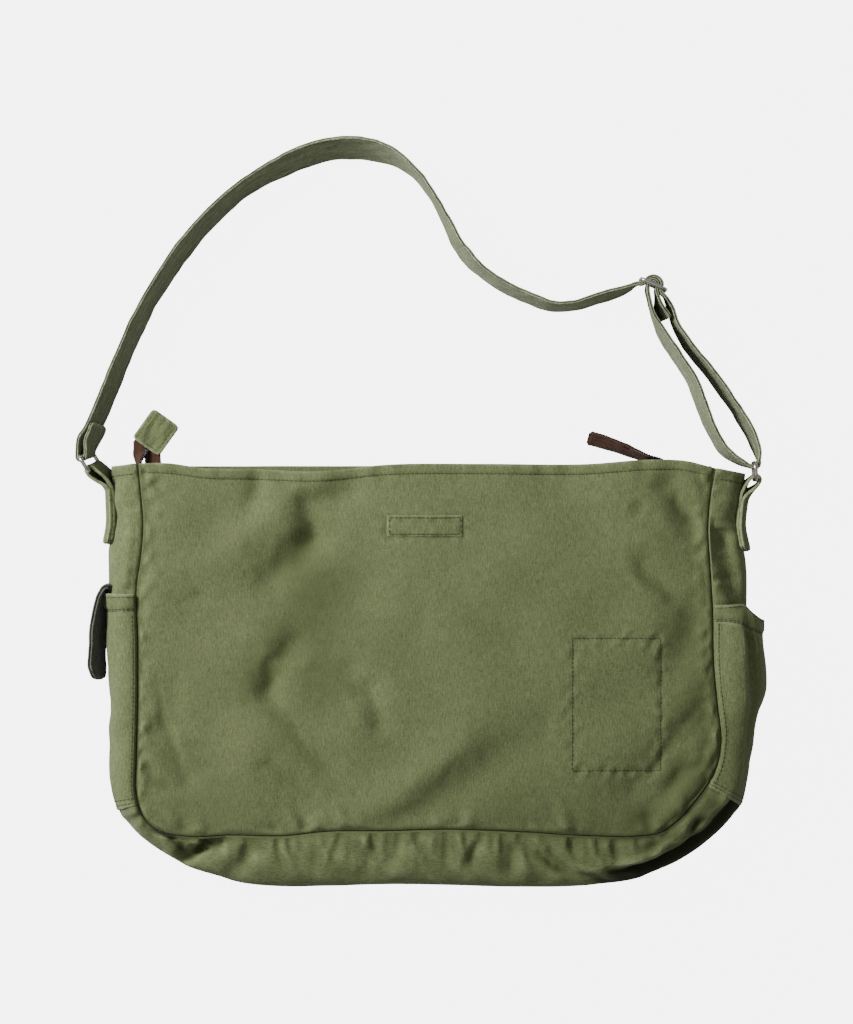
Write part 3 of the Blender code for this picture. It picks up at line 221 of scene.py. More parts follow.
# The strap between the slider and the right ring. down is the share of the way from the slider to
# the ring, aside a share of the distance between them to the left of that way.
LEG_COLUMNS = ("down", "aside", "lean")
OUTER_LEG = table(LEG_COLUMNS, [
    (0.1217, 0.0220, 4.0), (0.2136, 0.0039, 8.0), (0.3359, 0.0120, 12.0), (0.4659, 0.0345, 13.0),
    (0.5985, 0.0548, 13.0), (0.7264, 0.0663, 12.0), (0.8425, 0.0671, 12.0), (0.9261, 0.0536, 7.0),
])
INNER_LEG = table(LEG_COLUMNS, [
    (0.9141, -0.0469, -8.0), (0.8373, -0.0798, -12.0), (0.7655, -0.0835, -11.0),
    (0.6499, -0.0738, -13.0), (0.5436, -0.0586, -13.0), (0.4344, -0.0525, -13.0),
    (0.3332, -0.0614, -12.0), (0.2152, -0.0718, -10.0), (0.1403, -0.0666, -5.0),
    (0.0600, -0.0517, 0.0),
])
TAIL = table(LEG_COLUMNS, [
    (0.0711, -0.0121, 4.0), (0.1273, -0.0267, 14.0), (0.1723, -0.0324, 20.0),
])
SLIDER_ALONG = 0.8469     # the slider's middle bar, in shares as SEWN_END has them
SLIDER_UP = 0.5610
SLIDER_TURN = -24.0       # way of the slider's plate in plan, in degrees from X
OUTER_TURN = (10.0, -112.0)   # where the strap meets and leaves the right ring's bar, in degrees
SEWN_TURN = (0.0, -190.0)     # the same at the left ring
TAIL_TURN = (190.0, -10.0)    # the same at the slider's middle bar, from the plate's way

# The zip's tapes where they leave the mouth. x and y are shares of half the panel's width and
# height, height is in shares of SEAM_HEIGHT, roll the degrees that the teeth are turned up from
# flat.
ZIP_COLUMNS = ("x", "y", "height", "roll")
ZIP_CLOSED_FRONT = table(ZIP_COLUMNS, [
    (-0.930, 1.120, 0.50, 0.0), (-0.930, 1.050, 0.50, 0.0), (-0.930, 0.985, 0.53, 0.0),
    (-0.915, 0.925, 0.60, 0.0), (-0.870, 0.900, 0.68, 0.0),
])
ZIP_CLOSED_BACK = table(ZIP_COLUMNS, [
    (-1.012, 1.145, 0.50, 0.0), (-1.012, 1.085, 0.49, 5.0), (-1.012, 1.025, 0.46, 60.0),
    (-1.000, 0.965, 0.41, 90.0), (-0.965, 0.915, 0.36, 100.0), (-0.905, 0.895, 0.28, 130.0),
])
ZIP_LOOSE_END = table(ZIP_COLUMNS, [
    (0.780, 0.930, 0.52, 30.0), (0.825, 0.962, 0.46, 75.0), (0.822, 1.012, 0.41, 80.0),
    (0.768, 1.038, 0.36, 70.0), (0.698, 1.082, 0.28, 60.0), (0.626, 1.130, 0.21, 52.0),
    (0.560, 1.158, 0.17, 48.0),
])
ZIP_TAB_MIDDLE = (-0.939, 1.180)
ZIP_TAB_TURN = 54.5       # degrees from X


def spline(knots, values, at):
    """Smooth curve through the rows of values at the knots, read at the wanted places: cubic
    Hermite pieces whose slopes are the rows' central differences."""
    knots = np.asarray(knots, float)
    values = np.asarray(values, float)
    at = np.asarray(at, float)
    slopes = np.gradient(values, knots, axis=0)
    piece = np.clip(np.searchsorted(knots, at, side="right") - 1, 0, len(knots) - 2)
    step = knots[piece + 1] - knots[piece]
    u = (at - knots[piece]) / step
    shape = (-1,) + (1,) * (values.ndim - 1)
    u = u.reshape(shape)
    step = step.reshape(shape)
    return (
        (2 * u**3 - 3 * u**2 + 1) * values[piece]
        + (u**3 - 2 * u**2 + u) * step * slopes[piece]
        + (3 * u**2 - 2 * u**3) * values[piece + 1]
        + (u**3 - u**2) * step * slopes[piece + 1]
    )


def smoothstep(value):
    """3v^2 - 2v^3 of a value that is held between 0 and 1."""
    value = np.clip(value, 0.0, 1.0)
    return value * value * (3 - 2 * value)


def unit(vectors):
    """Vectors divided by their lengths."""
    return vectors / np.linalg.norm(vectors, axis=-1, keepdims=True)


def distances(points):
    """Distance along a run of points, starting at 0."""
    return np.concatenate([[0.0], np.cumsum(np.linalg.norm(np.diff(points, axis=0), axis=1))])


def plan_way(degrees):
    """Direction in plan at an angle from X."""
    angle = math.radians(degrees)
    return np.array([math.cos(angle), math.sin(angle), 0.0])


def panel_point(x, y):
    """A place in plan from shares of half the front panel's width and height."""
    return np.stack([np.asarray(x) * PANEL_WIDTH / 2, np.asarray(y) * PANEL_HEIGHT / 2], axis=-1)


SEAM_PLAN = panel_point(SEAM["x"], SEAM["y"])
SEAM_RUN = distances(SEAM_PLAN)
SEAM_REACH = SEAM["side"] * SIDE_BULGE + SEAM["base"] * BASE_BULGE
SEAM_EDGE = CLEARANCE / 2  # from the seam's line to the cloth on either side of it
LEFT_RUN, RIGHT_RUN, RUN_END = SEAM_RUN[[LEFT_JOIN, RIGHT_JOIN, -1]]


def seam(at):
    """Plan position, outward direction, reach of the gusset and height of the seam, at distances
    along it."""
    at = np.asarray(at, float)
    probe = 0.002
    ahead = spline(SEAM_RUN, SEAM_PLAN, np.minimum(at + probe, SEAM_RUN[-1]))
    behind = spline(SEAM_RUN, SEAM_PLAN, np.maximum(at - probe, 0.0))
    way = unit(ahead - behind)
    return {
        "plan": spline(SEAM_RUN, SEAM_PLAN, at),
        "out": np.stack([way[:, 1], -way[:, 0]], axis=1),
        "reach": spline(SEAM_RUN, SEAM_REACH, at),
        "height": spline(SEAM_RUN, SEAM["height"], at) * SEAM_HEIGHT,
    }


def side_at(side, share):
    """Distance along the seam to where the left (0) or right (1) side is at a share of half the
    panel's height."""
    ends = ((0.0, LEFT_RUN), (RUN_END, RIGHT_RUN))[side]
    at = np.linspace(*ends, 200)
    heights = seam(at)["plan"][:, 1] / (PANEL_HEIGHT / 2)
    return np.interp(-np.asarray(share, float), -heights, at)


def bell(distance, width):
    """1 on a line and falling off beside it: e to minus the square of distance over width."""
    return np.exp(-((distance / width) ** 2))


def off_line(x, y, start, way):
    """Distance in plan from each place to a straight line, and the share of the line that is
    nearest: the offset from its start taken along it and held between its ends."""
    share = np.clip(((x - start[0]) * way[0] + (y - start[1]) * way[1]) / (way @ way), 0, 1)
    return np.hypot(x - start[0] - share * way[0], y - start[1] - share * way[1]), share


def folds(x, y, rows):
    """Height that a table's folds add at each place in plan: a bell across each fold's line."""
    height = np.zeros(np.shape(x))
    starts = panel_point(rows["x0"], rows["y0"])
    ends = panel_point(rows["x1"], rows["y1"])
    for start, end, depth, width in zip(starts, ends, rows["depth"], rows["width"]):
        away, _ = off_line(x, y, start, end - start)
        height += depth * FOLD_DEPTH * bell(away, width * FOLD_WIDTH)
    return height


def gathers(x, y):
    """Height of the base panel's gathers: grooves that run from the seam down over the base, each
    with a bell across it."""
    height = np.zeros(np.shape(x))
    for at, lean, length, depth in zip(*GATHERS.values()):
        way = np.array([lean, -1.0]) * length * BASE_BULGE
        away, _ = off_line(x, y, panel_point(at, -1.0), way)
        height -= depth * GATHER_DEPTH * bell(away, GATHER_WIDTH)
    return height


# Finer shape of the cloth than the solids have

FINE_ROLL = 0.0013        # rounding of the cloth's edge as it turns into a seam
RIM_STITCHES = 0.0078     # distance of the mouth's stitches from its edge
EDGE_STITCHES = 0.0022    # the same on the strap, the flap and the patch
ZIP_TAB_STITCHES = 0.0030
POCKET_STITCHES = (0.0022, 0.0112, 0.0125)  # rows of stitches below a pocket's mouth
POCKET_WIDTH = 0.06       # a pocket's width round its gusset, about
STITCH_PITCH = 0.0034
STITCH_LENGTH = 0.0027
THREAD_RADIUS = 0.00026
THREAD_LIFT = 0.0002      # middle of the thread above the cloth
CREASE_DEEP = 0.0016      # depth of a crease over which painted shade darkens its colour
PUCKERS = 0.0009          # height of the puckers beside the front seam
LAP = 0.0035              # how far the base laps over each side gusset
LAP_RISE = 0.0011
TAB_STEP = 0.0012         # spacing of a tab's cross-sections
TOOTH_PITCH = 0.0021
TOOTH_SIDES = 8
BACK_TAPE_DOWN = 0.0058   # from the back panel's edge to its zip tape
UNDER_TEETH = 0.0016      # how far the tape goes on under the teeth
ZIP_TAB_LONG = 0.0285     # the tab over the zip's closed end, along the zip's way
ZIP_TAB_WIDE = 0.0256
TAB_BACK = 0.45           # steps of the gusset that a tab lies nearer to the back than its ring
TAB_CORNER = 0.0065       # rounding of a tab's sewn end
FLAP_IN = 0.0046          # how much nearer to the bag the flap's cloth hangs
BACK_MOUTH = 0.1425       # Y of the back panel's upper edge
SEAM_SHADE = -0.8          # painted shade of the cloth turned inside a seam
# Left, right, lower and upper side of the sewn patch and of the inside pocket's stitching
PATCH = (-0.0308, 0.0285, 0.0870, 0.1041)
HIDDEN_POCKET = (0.1135, 0.1821, -0.0948, 0.0082)

# Creases in the cloth, in millimetres: the run of each in plan, how far it lies above the cloth
# around it (below it if negative) and how wide it is
CREASES = [
    ([(-64, 134), (-78, 100), (-98, 76), (-120, 52)], -1.3, 13.0),
    ([(-90, 118), (-104, 100), (-124, 66)], 0.8, 9.0),
    ([(-129, 131), (-138, 112)], -0.9, 4.0),
    ([(-184, 48), (-174, 37)], -0.7, 7.0),
    ([(-150, 20), (-128, 4), (-116, -12)], 0.9, 8.0),
    ([(-101, 6), (-122, -8), (-126, -38), (-92, -82), (-67, -104)], -1.1, 6.0),
    ([(-84, -4), (-108, -16), (-112, -36)], 0.9, 6.0),
    ([(-58, -22), (-46, -38), (-38, -54)], -1.0, 4.5),
    ([(-66, -34), (-54, -48), (-46, -62)], 0.9, 5.0),
    ([(-211, -22), (-201, -62), (-188, -98)], -1.3, 4.0),
    ([(-204, -34), (-194, -74), (-181, -102)], 0.8, 4.0),
    ([(-222, -84), (-212, -102), (-196, -114)], -1.4, 4.0),
    ([(-120, -88), (-102, -108), (-85, -123)], -1.3, 6.0),
    ([(28, -76), (2, -98), (-25, -120)], 0.8, 9.0),
    ([(46, -66), (18, -96), (-6, -118)], -0.4, 8.0),
    ([(192, 131), (199, 104), (214, 93)], -1.5, 4.6),
    ([(178, 118), (186, 96), (200, 84)], 1.0, 6.0),
    ([(166, 64), (184, 42), (200, 33)], -1.6, 4.6),
    ([(150, 70), (164, 52), (176, 38)], 0.9, 7.0),
    ([(160, 113), (168, 104)], -1.3, 9.0),
    ([(212, -44), (198, -60), (186, -74)], -1.3, 5.5),
    ([(228, -66), (206, -92), (178, -118)], -1.8, 6.0),
    ([(214, -62), (194, -88), (168, -110)], 1.0, 6.0),
    ([(96, -40), (88, -62), (92, -90)], -0.9, 9.0),
    ([(20, 40), (52, 12), (90, 4)], -0.9, 12.0),
    ([(-30, 60), (-6, 34), (-10, 4)], -0.8, 10.0),
    ([(221, 112), (229, 66), (241, 34)], -2.6, 4.8),
    ([(238, 96), (240, 62)], 1.0, 4.0),
    ([(-236, 118), (-240, 76), (-238, 40)], -1.0, 4.5),
    ([(92, -152), (118, -169), (136, -176), (161, -179)], 2.8, 3.2),
    ([(84, -160), (112, -177)], -1.8, 4.0),
    ([(-216, -138), (-200, -148), (-184, -163)], -3.2, 3.6),
    ([(-187, -165), (-170, -153), (-156, -142)], -2.8, 3.2),
    ([(-210, -148), (-192, -168), (-172, -174)], 1.8, 4.0),
    ([(-223, 119), (-217, 127), (-206, 132)], -1.2, 3.0),
    ([(132, -176), (166, -167), (192, -150), (218, -120)], 2.0, 3.4),
    ([(134, -184), (172, -174), (200, -156), (229, -120)], -4.2, 5.0),
]

# Patches of painted shade, where the cloth lies in shade and its colour is darkened, in
# millimetres: middle in plan, half width, half height, depth
SHADE_PATCHES = [
    (-84, 6, 36, 80, 0.58), (-128, -22, 20, 26, 0.60), (-96, 52, 30, 24, 0.45),
    (216, -30, 30, 80, 0.58), (205, -112, 26, 26, 0.60), (84, -120, 60, 30, 0.30),
    (-168, -118, 40, 30, 0.40), (192, 112, 26, 24, 0.35), (-200, -40, 12, 60, 0.25),
    (75, -160, 40, 14, 0.40), (180, -150, 60, 22, 0.60), (242, 52, 9, 20, 0.70),
    (-180, -150, 30, 12, 0.35),
]

# Gathers of the base below its seam, in millimetres: where each starts along the bag, how far it
# leans for each length down, its length, depth and width
GATHERS_OF_BASE = [
    (-176, 0.9, 22, 1.3, 3.0), (-154, -0.9, 26, 1.6, 3.2), (-138, -0.3, 14, 0.9, 2.4),
    (-117, 0.2, 20, 1.4, 2.4), (-109, 0.3, 26, 1.3, 2.4), (-98, -0.2, 16, 1.2, 2.2),
    (-82, 0.4, 14, 0.9, 2.4), (-66, -0.4, 24, 1.5, 2.8), (-44, 0.3, 22, 1.3, 2.6),
    (-28, -0.2, 13, 0.9, 2.4), (-10, 0.5, 24, 1.5, 2.8), (12, -0.3, 14, 0.9, 2.6),
    (29, 0.3, 20, 1.3, 2.4), (45, -0.5, 24, 1.4, 2.6), (58, 0.2, 14, 1.0, 2.2),
    (70, 0.6, 26, 1.6, 2.6), (77, 0.2, 18, 1.2, 2.0), (89, 0.7, 28, 1.7, 2.8),
    (111, 0.4, 22, 1.4, 2.6), (130, 0.6, 24, 1.5, 2.6), (145, 0.2, 18, 1.2, 2.4),
    (163, 0.4, 16, 1.0, 2.6), (183, 0.7, 20, 1.3, 2.8),
]


def ripples(x, y, length, seed, count=16):
    """Sum of cosines whose crests lie about one length apart, in all directions, about -1 to 1."""
    chance = np.random.default_rng(seed)
    total = np.zeros(np.broadcast(x, y).shape)
    for _ in range(count):
        angle, finer, phase = chance.uniform((0, 0.7, 0), (math.pi, 1.4, 2 * math.pi))
        wave = 2 * math.pi * finer / length
        total += np.cos(wave * (x * math.cos(angle) + y * math.sin(angle)) + phase)
    return total / math.sqrt(count)


def off_run(x, y, run):
    """Distance in plan from each place to a broken line, and the share of the line that is nearest,
    from the nearest of its straight pieces."""
    run = np.asarray(run, float)
    nearest, share = np.full(np.shape(x), np.inf), np.zeros(np.shape(x))
    for i, (a, b) in enumerate(zip(run[:-1], run[1:])):
        away, t = off_line(x, y, a, b - a)
        closer = away < nearest
        nearest = np.where(closer, away, nearest)
        share = np.where(closer, (i + t) / (len(run) - 1), share)
    return nearest, share


def creased(x, y):
    """Height of all creases at places in plan. Each fades in from its ends and wanders a little."""
    x, y = np.asarray(x) * 1000, np.asarray(y) * 1000
    wander = 1.6 * ripples(x, y, 26.0, 51), 1.6 * ripples(x, y, 26.0, 52)
    total = np.zeros(np.shape(x))
    for run, height, width in CREASES:
        away, share = off_run(x + wander[0], y + wander[1], run)
        middle = 0.30 + 0.70 * smoothstep(np.minimum(share, 1 - share) / 0.35)
        total += height * middle * bell(away, width * (0.7 + 0.3 * middle))
    return total / 1000


def painted_shade_patches(x, y):
    """How much painted shade darkens the colour at places in plan: soft oval patches with uneven
    outlines, each e to minus the squared distance in shares of its half width and half height."""
    x, y = np.asarray(x) * 1000, np.asarray(y) * 1000
    uneven = 1 + 0.35 * ripples(x, y, 60.0, 71)
    total = np.zeros(np.shape(x))
    for middle_x, middle_y, wide, high, depth in SHADE_PATCHES:
        off = ((x - middle_x) / wide) ** 2 + ((y - middle_y) / high) ** 2
        total += depth * np.exp(-off * uneven)
    return np.clip(total, 0, 0.9)


def around_mean(values, reach):
    """Mean of a grid of values over the places up to reach rows and columns away."""
    kernel = np.ones(2 * reach + 1) / (2 * reach + 1)
    values = np.pad(values, reach, mode="edge")
    for axis in (0, 1):
        values = np.apply_along_axis(np.convolve, axis, values, kernel, "valid")
    return values


def patchy(run, length, seed):
    """Share from 0 to 1 that comes and goes along a run of cloth: smoothed ripples."""
    return smoothstep(0.5 + 0.55 * ripples(run, 0 * run, length, seed))


def off_rectangle(x, y, sides):
    """Distance from each place in plan to the outline of a rectangle: past its corners the length
    of both offsets, and inside it the offset to the nearest side."""
    left, right, low, high = sides
    dx = np.maximum(left - x, x - right)
    dy = np.maximum(low - y, y - high)
    outside = np.hypot(np.maximum(dx, 0), np.maximum(dy, 0))
    return outside - np.minimum(np.maximum(dx, dy), 0)


def hem_relief(from_mouth):
    """Height of a hem over its cloth: a thicker strip, less a bell-shaped groove along its row of
    stitches."""
    strip = 1 - smoothstep((from_mouth - RIM_STITCHES + 0.0006) / 0.0018)
    return 0.0006 * strip - 0.0006 * bell(from_mouth - RIM_STITCHES, 0.0010)


def crease_shade(dent):
    """Painted shade in a crease, from 0 to 1: how deep the cloth lies in it, the creases' depth in
    shares of CREASE_DEEP, less a quarter."""
    return np.clip(-dent / CREASE_DEEP - 0.25, 0, 1)


def front_at(u, v):
    """The front panel inside its seams at shares u across (columns) and v down (rows): a Coons
    patch between the two sides, the base and the hem edge, raised by the crown and the folds."""
    u, v = np.asarray(u, float), np.asarray(v, float)
    inset = -(SEAM_EDGE + FINE_ROLL)

    def edge(at):
        """Points of the panel's edge: the seam's outline moved inwards, at the seam's height."""
        here = seam(at)
        return np.column_stack([here["plan"] + here["out"] * inset, here["height"]])

    left, right = edge(v * LEFT_RUN), edge(RUN_END - v * (RUN_END - RIGHT_RUN))
    base = edge(LEFT_RUN + u * (RIGHT_RUN - LEFT_RUN))
    corners = edge(np.array([0.0, LEFT_RUN, RIGHT_RUN, RUN_END]))
    rim = spline(RIM["along"], np.column_stack([RIM["rise"], RIM["sag"]]), u)
    top = corners[0] + u[:, None] * (corners[3] - corners[0])
    top[:, 1] += rim[:, 0] * HEM_DEPTH
    top[:, 2] -= rim[:, 1] * SEAM_HEIGHT
    a, d = u[None, :, None], v[:, None, None]
    patch = (1 - d) * top[None] + d * base[None] + (1 - a) * left[:, None] + a * right[:, None]
    patch -= (1 - d) * ((1 - a) * corners[0] + a * corners[3])
    patch -= d * ((1 - a) * corners[1] + a * corners[2])
    u, v = np.broadcast_arrays(u[None], v[:, None])
    dome = np.maximum(np.sin(np.pi * u) * np.sin(np.pi * (0.12 + 0.88 * v)), 0.0) ** 0.6
    fade = smoothstep(np.minimum(u, 1 - u) * PANEL_WIDTH / FOLD_FADE)
    fade = fade * smoothstep((1 - v) * PANEL_HEIGHT / FOLD_FADE)
    fade = fade * (1 - 0.40 * smoothstep(v * PANEL_HEIGHT / 0.03))
    patch[..., 2] += CROWN * dome + fade * folds(patch[..., 0], patch[..., 1], FOLDS)
    return patch


def front_cloth(u, v):
    """The front panel with its finer shape: soft creases, puckers beside the seams, the hem's
    thicker strip with its row of stitches, and the lines where the patch and the inside pocket are
    sewn, each a bell across its line times ripples. Returns the points and, at each, how worn it
    is (above 0) and how much painted shade darkens it (below 0)."""
    points = front_at(u, v)
    x, y = points[..., 0].copy(), points[..., 1].copy()
    across, down = np.meshgrid(u * PANEL_WIDTH, v * PANEL_HEIGHT)
    side = np.minimum(across, PANEL_WIDTH - across)
    base = PANEL_HEIGHT - down
    calm = smoothstep(np.minimum(side, base) / 0.012)
    dent = creased(x, y)
    lift = calm * dent
    lift += 0.00080 * ripples(x, y, 0.070, 3) + 0.00009 * ripples(x * 1.4, y, 0.019, 4)
    lift += 0.0011 * bell(side, 0.011) * ripples(y, x, 0.015, 5)
    lift += (0.0013 * bell(base, 0.015) * ripples(x + 0.4 * y, 0.5 * y, 0.017, 6)
             * patchy(across, 0.055, 67))
    lift += 0.0006 * bell(down, 0.013) * ripples(x, 0 * x, 0.020, 7)
    for sides, seed in ((PATCH, 8), (HIDDEN_POCKET, 9)):
        line = off_rectangle(x, y, sides)
        lift -= 0.0006 * bell(line, 0.0014)
        lift += 0.00045 * bell(line, 0.007) * ripples(x, y, 0.012, seed)
    lift *= smoothstep(np.minimum(side, base) / 0.0040)
    relief = np.clip((lift - around_mean(lift, 4)) / 0.0007, -1, 1)
    lift += hem_relief(down)
    points[..., 2] += lift
    # Paler on worn ridges; painted shade darkens the hollows, the creases and the shaded patches
    worn_and_shaded = 0.20 * relief * smoothstep(down / 0.012) - 0.35 * crease_shade(dent) - painted_shade_patches(x, y)
    worn_and_shaded += 0.95 * bell(down, 0.0016) * (0.45 + 0.55 * patchy(across, 0.024, 61))
    # Painted shade in the groove of the mouth's stitches
    worn_and_shaded -= 0.25 * bell(down - RIM_STITCHES, 0.0008)
    edge = 0.30 * bell(side - 0.0024, 0.0014) * patchy(down, 0.020, 62)
    edge = edge + 0.40 * bell(base - 0.0024, 0.0015) * patchy(across, 0.012, 63)
    # Painted shade where the cloth turns down into the seam
    worn_and_shaded += edge - 0.8 * bell(np.minimum(side, base), 0.0012)
    # Painted shade along the stitched lines of the patch and the inside pocket
    for sides in (PATCH, HIDDEN_POCKET):
        worn_and_shaded -= 0.15 * bell(off_rectangle(x, y, sides), 0.0010)
    return points, np.clip(worn_and_shaded, -1, 1)


def band_at(at, angles):
    """Outer surface of the gussets and the base at distances along the seam (rows) and at angles
    round from the front seam (90 degrees) over the middle (0) to the back seam (-90), as a
    superellipse: the sine and the cosine to the power of 2 over the roundness."""
    here = seam(at)
    angles = np.radians(angles)
    power = 2 / BAND_ROUNDNESS
    out = np.maximum(np.cos(angles), 0.0) ** power
    out[out < 1e-9] = 0.0
    up = np.sign(np.sin(angles)) * np.abs(np.sin(angles)) ** power
    start = SEAM_EDGE + FINE_ROLL
    reach = start + (here["reach"][:, None] - start) * out
    plan = here["plan"][:, None] + here["out"][:, None] * reach[..., None]
    x, y = plan[..., 0], plan[..., 1]
    half = here["height"][:, None] / 2
    upper = np.clip(up, 0.0, 1.0) * smoothstep(out / 0.35)
    on_base = smoothstep((-0.9 * PANEL_HEIGHT / 2 - y) / GATHER_FADE)
    lift = folds(x, y, FOLDS) + on_base * (gathers(x, y) + folds(x, y, CORNER_TUCKS))
    height = half + half * up + upper * lift
    return np.dstack([x, y, np.maximum(height, 0.0)])


def outwards(points, flip=1.0):
    """Unit normals of a grid of points."""
    return flip * unit(np.cross(np.gradient(points, axis=1), np.gradient(points, axis=0)))


def band_cloth(at, angles):
    """The band with its finer shape: puckers that run from the front seam and fade down the band,
    the base's gathers, each a bell across its line, and soft creases, all lifted along the
    surface's normals. Returns the points and, at each, how worn it is (above 0) and how much
    painted shade and painted shadow darken it (below 0)."""
    points = band_at(at, angles)
    normals = outwards(points)
    steps = np.linalg.norm(np.diff(points, axis=1, prepend=points[:, :1]), axis=2)
    away = np.cumsum(steps, axis=1)
    along = np.broadcast_to(np.asarray(at)[:, None], away.shape)
    x, y = points[..., 0], points[..., 1]
    angles = np.asarray(angles, float)[None]
    upper = smoothstep(np.clip(angles / 40, 0, 1))
    below = smoothstep((-0.9 * PANEL_HEIGHT / 2 - y[:, :1]) / GATHER_FADE)
    dent = creased(x, y)
    lift = PUCKERS * (1 - 0.3 * below) * np.exp(-away / 0.012)
    lift *= ripples(along, away * 0.3, 0.010, 12)
    lift += 0.0005 * smoothstep(away / 0.01) * ripples(along, away, 0.026, 13)
    lift += upper * dent
    down = away * 1000
    for start, lean, length, depth, width in GATHERS_OF_BASE:
        off = (x[:, :1] * 1000 - start) - lean * away * 1000
        valley = bell(off, width * (1 + down / length)) - 0.6 * bell(off + 1.9 * width, width)
        fade = np.exp(-((down / length) ** 2))
        lift -= 1.15 * below * depth / 1000 * valley * fade * smoothstep(down / 1.5)
    lift *= smoothstep(np.abs(angles) / 32)
    tucked = smoothstep((x[:, :1] - 0.118) / 0.04) * smoothstep((-0.080 - y[:, :1]) / 0.03)
    lift += tucked * (0.0022 * bell(angles - 60, 8) - 0.0036 * bell(angles - 44, 9))
    relief = np.clip((lift - around_mean(lift, 3)) / 0.0006, -1, 1)
    points = points + normals * (lift * smoothstep(away / 0.002))[..., None]
    points[..., 2] = np.maximum(points[..., 2], 0.0)
    # Paler on worn ridges; painted shade darkens the hollows and the seam
    worn_and_shaded = 0.30 * relief * smoothstep(away / 0.003) - 0.8 * bell(away, 0.0010)
    worn_and_shaded += (0.22 + 0.25 * below) * bell(away - 0.0026, 0.0014) * patchy(along, 0.014, 64)
    # Painted shade in the creases and the shaded patches
    worn_and_shaded -= 0.75 * (crease_shade(dent) * (angles > -20)) + 0.8 * painted_shade_patches(x, y)
    # A pale worn ridge on the fold at the base's right corner, and painted shadow below it, almost
    # black, where the base curls under
    worn_and_shaded += tucked * (0.5 * bell(angles - 58, 4) - 1.9 * smoothstep((56 - angles) / 14))
    return points, np.clip(worn_and_shaded, -1.8, 1)


def section_spline(rows, step):
    """Rows of points put on smooth lines through the rows given, at most step apart."""
    run = distances(rows[:, rows.shape[1] // 2])
    at = [0.0]
    for a, b in zip(run[:-1], run[1:]):
        parts = max(1, math.ceil((b - a) / step))
        at.extend(a + (b - a) * (k + 1) / parts for k in range(parts))
    return spline(run, rows, at)


def ribbon(middle, upright, width, shares):
    """Rows of points across a band of cloth from its middle line and the direction of its width."""
    return middle[:, None] + upright[:, None] * (np.asarray(shares)[None, :, None] * width)


def turn_round(centre, axis, radius, start, end):
    """Points round a bar from one angle in plan to another, in steps of TURN_STEP at most."""
    steps = max(1, round(abs(end - start) / TURN_STEP))
    angles = np.radians(np.linspace(start, end, steps + 1))
    first = unit(np.array([1.0, 0.0, 0.0]) - axis[0] * axis)
    second = np.cross(axis, first)
    return centre + radius * (np.cos(angles)[:, None] * first + np.sin(angles)[:, None] * second)


class Frame:
    """A metal frame of two or three upright bars: where its middle is, the way in plan from its
    first bar to its last, and the direction of the bars."""

    def __init__(self, middle, turn, lean, spacing):
        self.middle = np.array([*middle, METAL_HEIGHT])
        self.turn = turn
        self.way = plan_way(turn)
        left = plan_way(turn + 90)
        self.axis = math.cos(math.radians(lean)) * UP + math.sin(math.radians(lean)) * left
        self.spacing = spacing

    def bar(self, place):
        """Middle of the bar at a place from -1 (first) to 1 (last)."""
        return self.middle + self.way * place * self.spacing / 2


BAR_HALF = STRAP_WIDTH / 2 + WIRE_CORNER / 2 + WIRE / 2
STRAP_TURN = WIRE / 2 + BAR_CLEARANCE + STRAP_THICKNESS / 2
STRAP_OUTER_TURN = STRAP_TURN + STRAP_THICKNESS + BAR_CLEARANCE
TAB_TURN = WIRE / 2 + BAR_CLEARANCE + TAB_THICKNESS / 2

RING = [Frame(panel_point(x, y), turn, lean, RING_SPACING)
        for x, y, turn, lean, _ in zip(*RINGS.values())]


def strap_place(along, up):
    """A place in plan in the shares that the strap's tables use."""
    left, right = RING[0].middle, RING[1].middle
    x = left[0] + np.asarray(along) * (right[0] - left[0])
    return np.stack([x, left[1] + np.asarray(up) * STRAP_RISE], axis=-1)


def arc_place(along, up):
    """A place in plan along the strap's arc, from the left ring to the slider."""
    way = SLIDER.middle[:2] - RING[0].middle[:2]
    plan = RING[0].middle[:2] + np.asarray(along)[:, None] * way
    return plan + np.asarray(up)[:, None] * (0.0, STRAP_RISE)


def leg_place(down, aside):
    """A place in plan between the slider and the right ring."""
    way = RING[1].middle[:2] - SLIDER.middle[:2]
    left = np.array([-way[1], way[0]])
    return SLIDER.middle[:2] + np.asarray(down)[:, None] * way + np.asarray(aside)[:, None] * left


SLIDER = Frame(
    strap_place(SLIDER_ALONG, SLIDER_UP), SLIDER_TURN, 0.0, 2 * (STRAP_TURN + STRAP_OUTER_TURN)
)


def strap_stretch(plan, lean, bars):
    """Middle and upright direction of the strap along a free stretch. It stands on its edge on the
    floor and rises to the metal near each bar."""
    way = unit(np.gradient(plan, axis=0))
    left = np.column_stack([-way[:, 1], way[:, 0], np.zeros(len(way))])
    lean = np.radians(lean)[:, None]
    upright = np.cos(lean) * UP + np.sin(lean) * left
    resting = (
        STRAP_WIDTH / 2 * np.cos(lean[:, 0])
        + STRAP_THICKNESS / 2 * np.abs(np.sin(lean[:, 0]))
        + CLEARANCE
    )
    away = np.min([np.hypot(*(plan - bar[:2]).T) for bar in bars], axis=0)
    near = np.exp(-((away / RISE_LENGTH) ** 2))
    height = resting + np.maximum(METAL_HEIGHT - resting, 0.0) * near
    return np.column_stack([plan, height]), upright


def zip_rows(rows, side):
    """The two edges of a tape along a table's stretch, the sewn edge first. side is 1 where the
    teeth lie on the left of its way and -1 where they lie on its right."""
    middle = np.column_stack([panel_point(rows["x"], rows["y"]), rows["height"] * SEAM_HEIGHT])
    way = unit(np.gradient(middle, axis=0))
    left = unit(np.column_stack([-way[:, 1], way[:, 0], np.zeros(len(way))]))
    roll = np.radians(rows["roll"])[:, None]
    return ribbon(middle, np.cos(roll) * left * side + np.sin(roll) * UP, TAPE_WIDTH, (-0.5, 0.5))


# Making meshes

